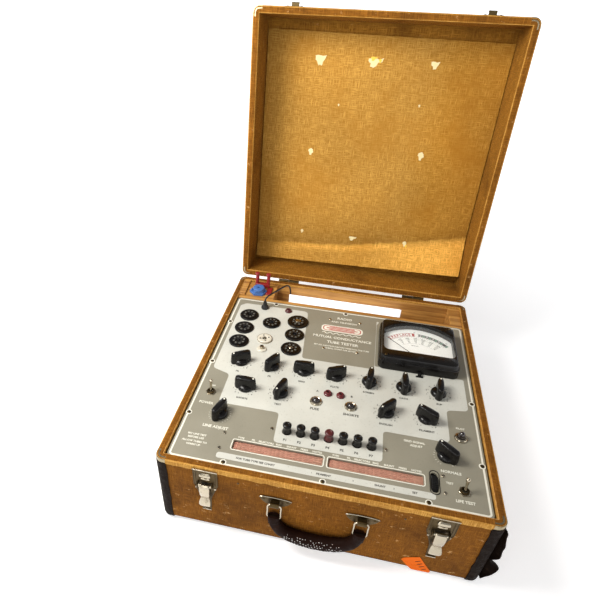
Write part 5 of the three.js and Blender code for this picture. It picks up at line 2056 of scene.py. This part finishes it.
def scraps():
    """What is left of labels that were pasted on the liner: torn paper and spots of old glue."""
    torn_tab = [(-10, 7), (-3, 8), (4, 6.4), (11, 8), (8, 1), (5, -3), (3.5, -9), (-1, -8), (-3, -10)]
    torn_tab += [(-5, -3), (-9, 0)]
    wide_tab = [(-12, 7), (-4, 8.5), (6, 6.5), (14, 8), (12, 2), (5, 1), (2, -5), (-3, -8), (-9, -6)]
    wide_tab += [(-8, -1), (-13, 2)]
    chip = [(-4, 5), (1, 7), (4, 4), (5, -1), (2, -3), (1, -7), (-2, -6), (-3, -1), (-5, 1)]
    patches = [
        (-108.5, 388, torn_tab, 0.95), (-13.7, 388, wide_tab, 0.95), (85.4, 390, torn_tab, 0.7),
        (-110, 234, chip, 0.95), (91, 243, chip, 1.1), (-112, 79, chip, 0.55), (-9, 75, wide_tab, 0.55),
        (93, 77, chip, 0.75), (-68, 318, chip, 0.3), (72, 326, chip, 0.35),
    ]
    spots = [(-17, 394, wide_tab, 0.42), (-6, 391.5, chip, 0.5), (96, 73, chip, 0.4)]
    for name, places, material, layer in (
        ("liner_paper_scraps", patches, "old_paper", 0.15), ("liner_glue_spots", spots, "glue", 0.5),
    ):
        bm = bmesh.new()
        for cx, cs, shape, scale in places:
            points = []
            for (ax, ay), (bx, by) in zip(shape, shape[1:] + shape[:1]):
                for t in (0, 0.34, 0.67):
                    jag = noise.noise(Vector((ax + t * 5, ay, cx)))
                    x = cx + scale * (ax + (bx - ax) * t + jag)
                    s = cs + scale * (ay + (by - ay) * t + jag)
                    points.append(bm.verts.new((x, HALF_D - s, LINER_TOP - 2.9 - liner_lift(x, s) - layer)))
            bm.faces.new(points)
        bmesh.ops.recalc_face_normals(bm, faces=bm.faces[:])
        bmesh.ops.solidify(bm, geom=bm.faces[:], thickness=0.3)
        lid_piece(from_bmesh(name, bm, material, 30), "liner_fabric")


scraps()


# ---------------------------------------------------------------- torn corner leather
def torn_flap():
    """The leather on the right front corner has come unstuck and torn, and stands off the side."""
    edge = [
        (116, 4.0), (112, 5.0), (106, 5.5), (98, 7.0), (88, 8.6), (76, 9.6), (68, 10.5), (62, 10.5),
        (58, 8.5), (55, 4.6), (51, 3.2), (48, 6.0), (45, 11.5), (42, 15.0), (38, 16.0), (33, 14.5),
        (27, 12.5), (20, 11.0), (13, 8.0), (6, 3.0),
    ]
    line = smooth_path([(reach, 0, z) for z, reach in edge], 60)
    bm = bmesh.new()
    rows = []
    for point in line:
        reach, z = point.x, point.z
        ragged = 0.7 * noise.noise(Vector((0, 0, z * 0.5))) + 0.35 * noise.noise(Vector((4, 0, z * 1.6)))
        row = []
        for k in range(7):
            t = k / 6
            y = FRONT + 3.2 + 20 * (1 - t) + 2.0 * noise.noise(Vector((t * 2, 1, z * 0.05)))
            x = HALF_W + 0.9 + (reach + ragged) * (1 - (1 - t) ** 1.4) * min(1.0, t * 1.2)
            row.append(bm.verts.new((x, y, z)))
        rows.append(row)
    join_rows(bm, rows, closed=False)
    bmesh.ops.recalc_face_normals(bm, faces=bm.faces[:])
    bmesh.ops.solidify(bm, geom=bm.faces[:], thickness=1.3)
    add_piece("torn_corner_flap", bm, "leather", "base", "handle_leather", smooth=50)


torn_flap()


# ---------------------------------------------------------------- front nails and sticker
def front_details():
    nails = bmesh.new()
    for x, z in ((-104, 112), (104, 109)):
        add_lathe(nails, [(0, 0), (1.6, 0), (1.2, 0.6), (0, 0.8)], 12, along("-Y", x, FRONT - 0.3, z))
    add_piece("front_nails", nails, "dull_nickel", "base", "nickel")
    sticker = bmesh.new()
    outline = [(115.2, 20.7), (118.1, 25.7), (136.4, 34.6), (155.5, 5.5), (154, 2.2), (136, 1.6)]
    outline += [(131.5, 1.8), (126, 7.2)]
    front_prism(sticker, outline, 0.75, 0.95)
    for crease in ([(119, 20), (131, 13), (147, 16)], [(128, 7), (141, 6), (152, 7)]):
        add_tube(sticker, smooth_path([(a, FRONT - 0.85, b) for a, b in crease], 12), 0.35, 6)
    add_piece("price_sticker", sticker, "orange", "base", "orange_paper", smooth=20)
    strokes = bmesh.new()
    bars = (
        ((-3.4, -3.2), (2.4, 0.6), (3.0, -0.4), (-2.8, -4.2)),
        ((-1.2, -2.9), (-0.4, -1.2), (0.3, -2.1), (-0.6, -3.8)),
    )
    for k in range(4):
        x, z = 136.2 + 3.4 * k, 25.6 - 5.4 * k
        for bar in bars:
            front_prism(strokes, [(x + a, z + b) for a, b in bar], 0.96, 1.06)
    add_piece("price_sticker_print", strokes, "hole", "base", "orange_paper", smooth=0)


front_details()


# ---------------------------------------------------------------- parts under the panel
def plain_node(node, material):
    for slot in frame["nodes"][node].material_slots:
        slot.material = MATERIALS[material]


plain_node("switch_chassis", "steel")
plain_node("power_transformer", "matt_black")
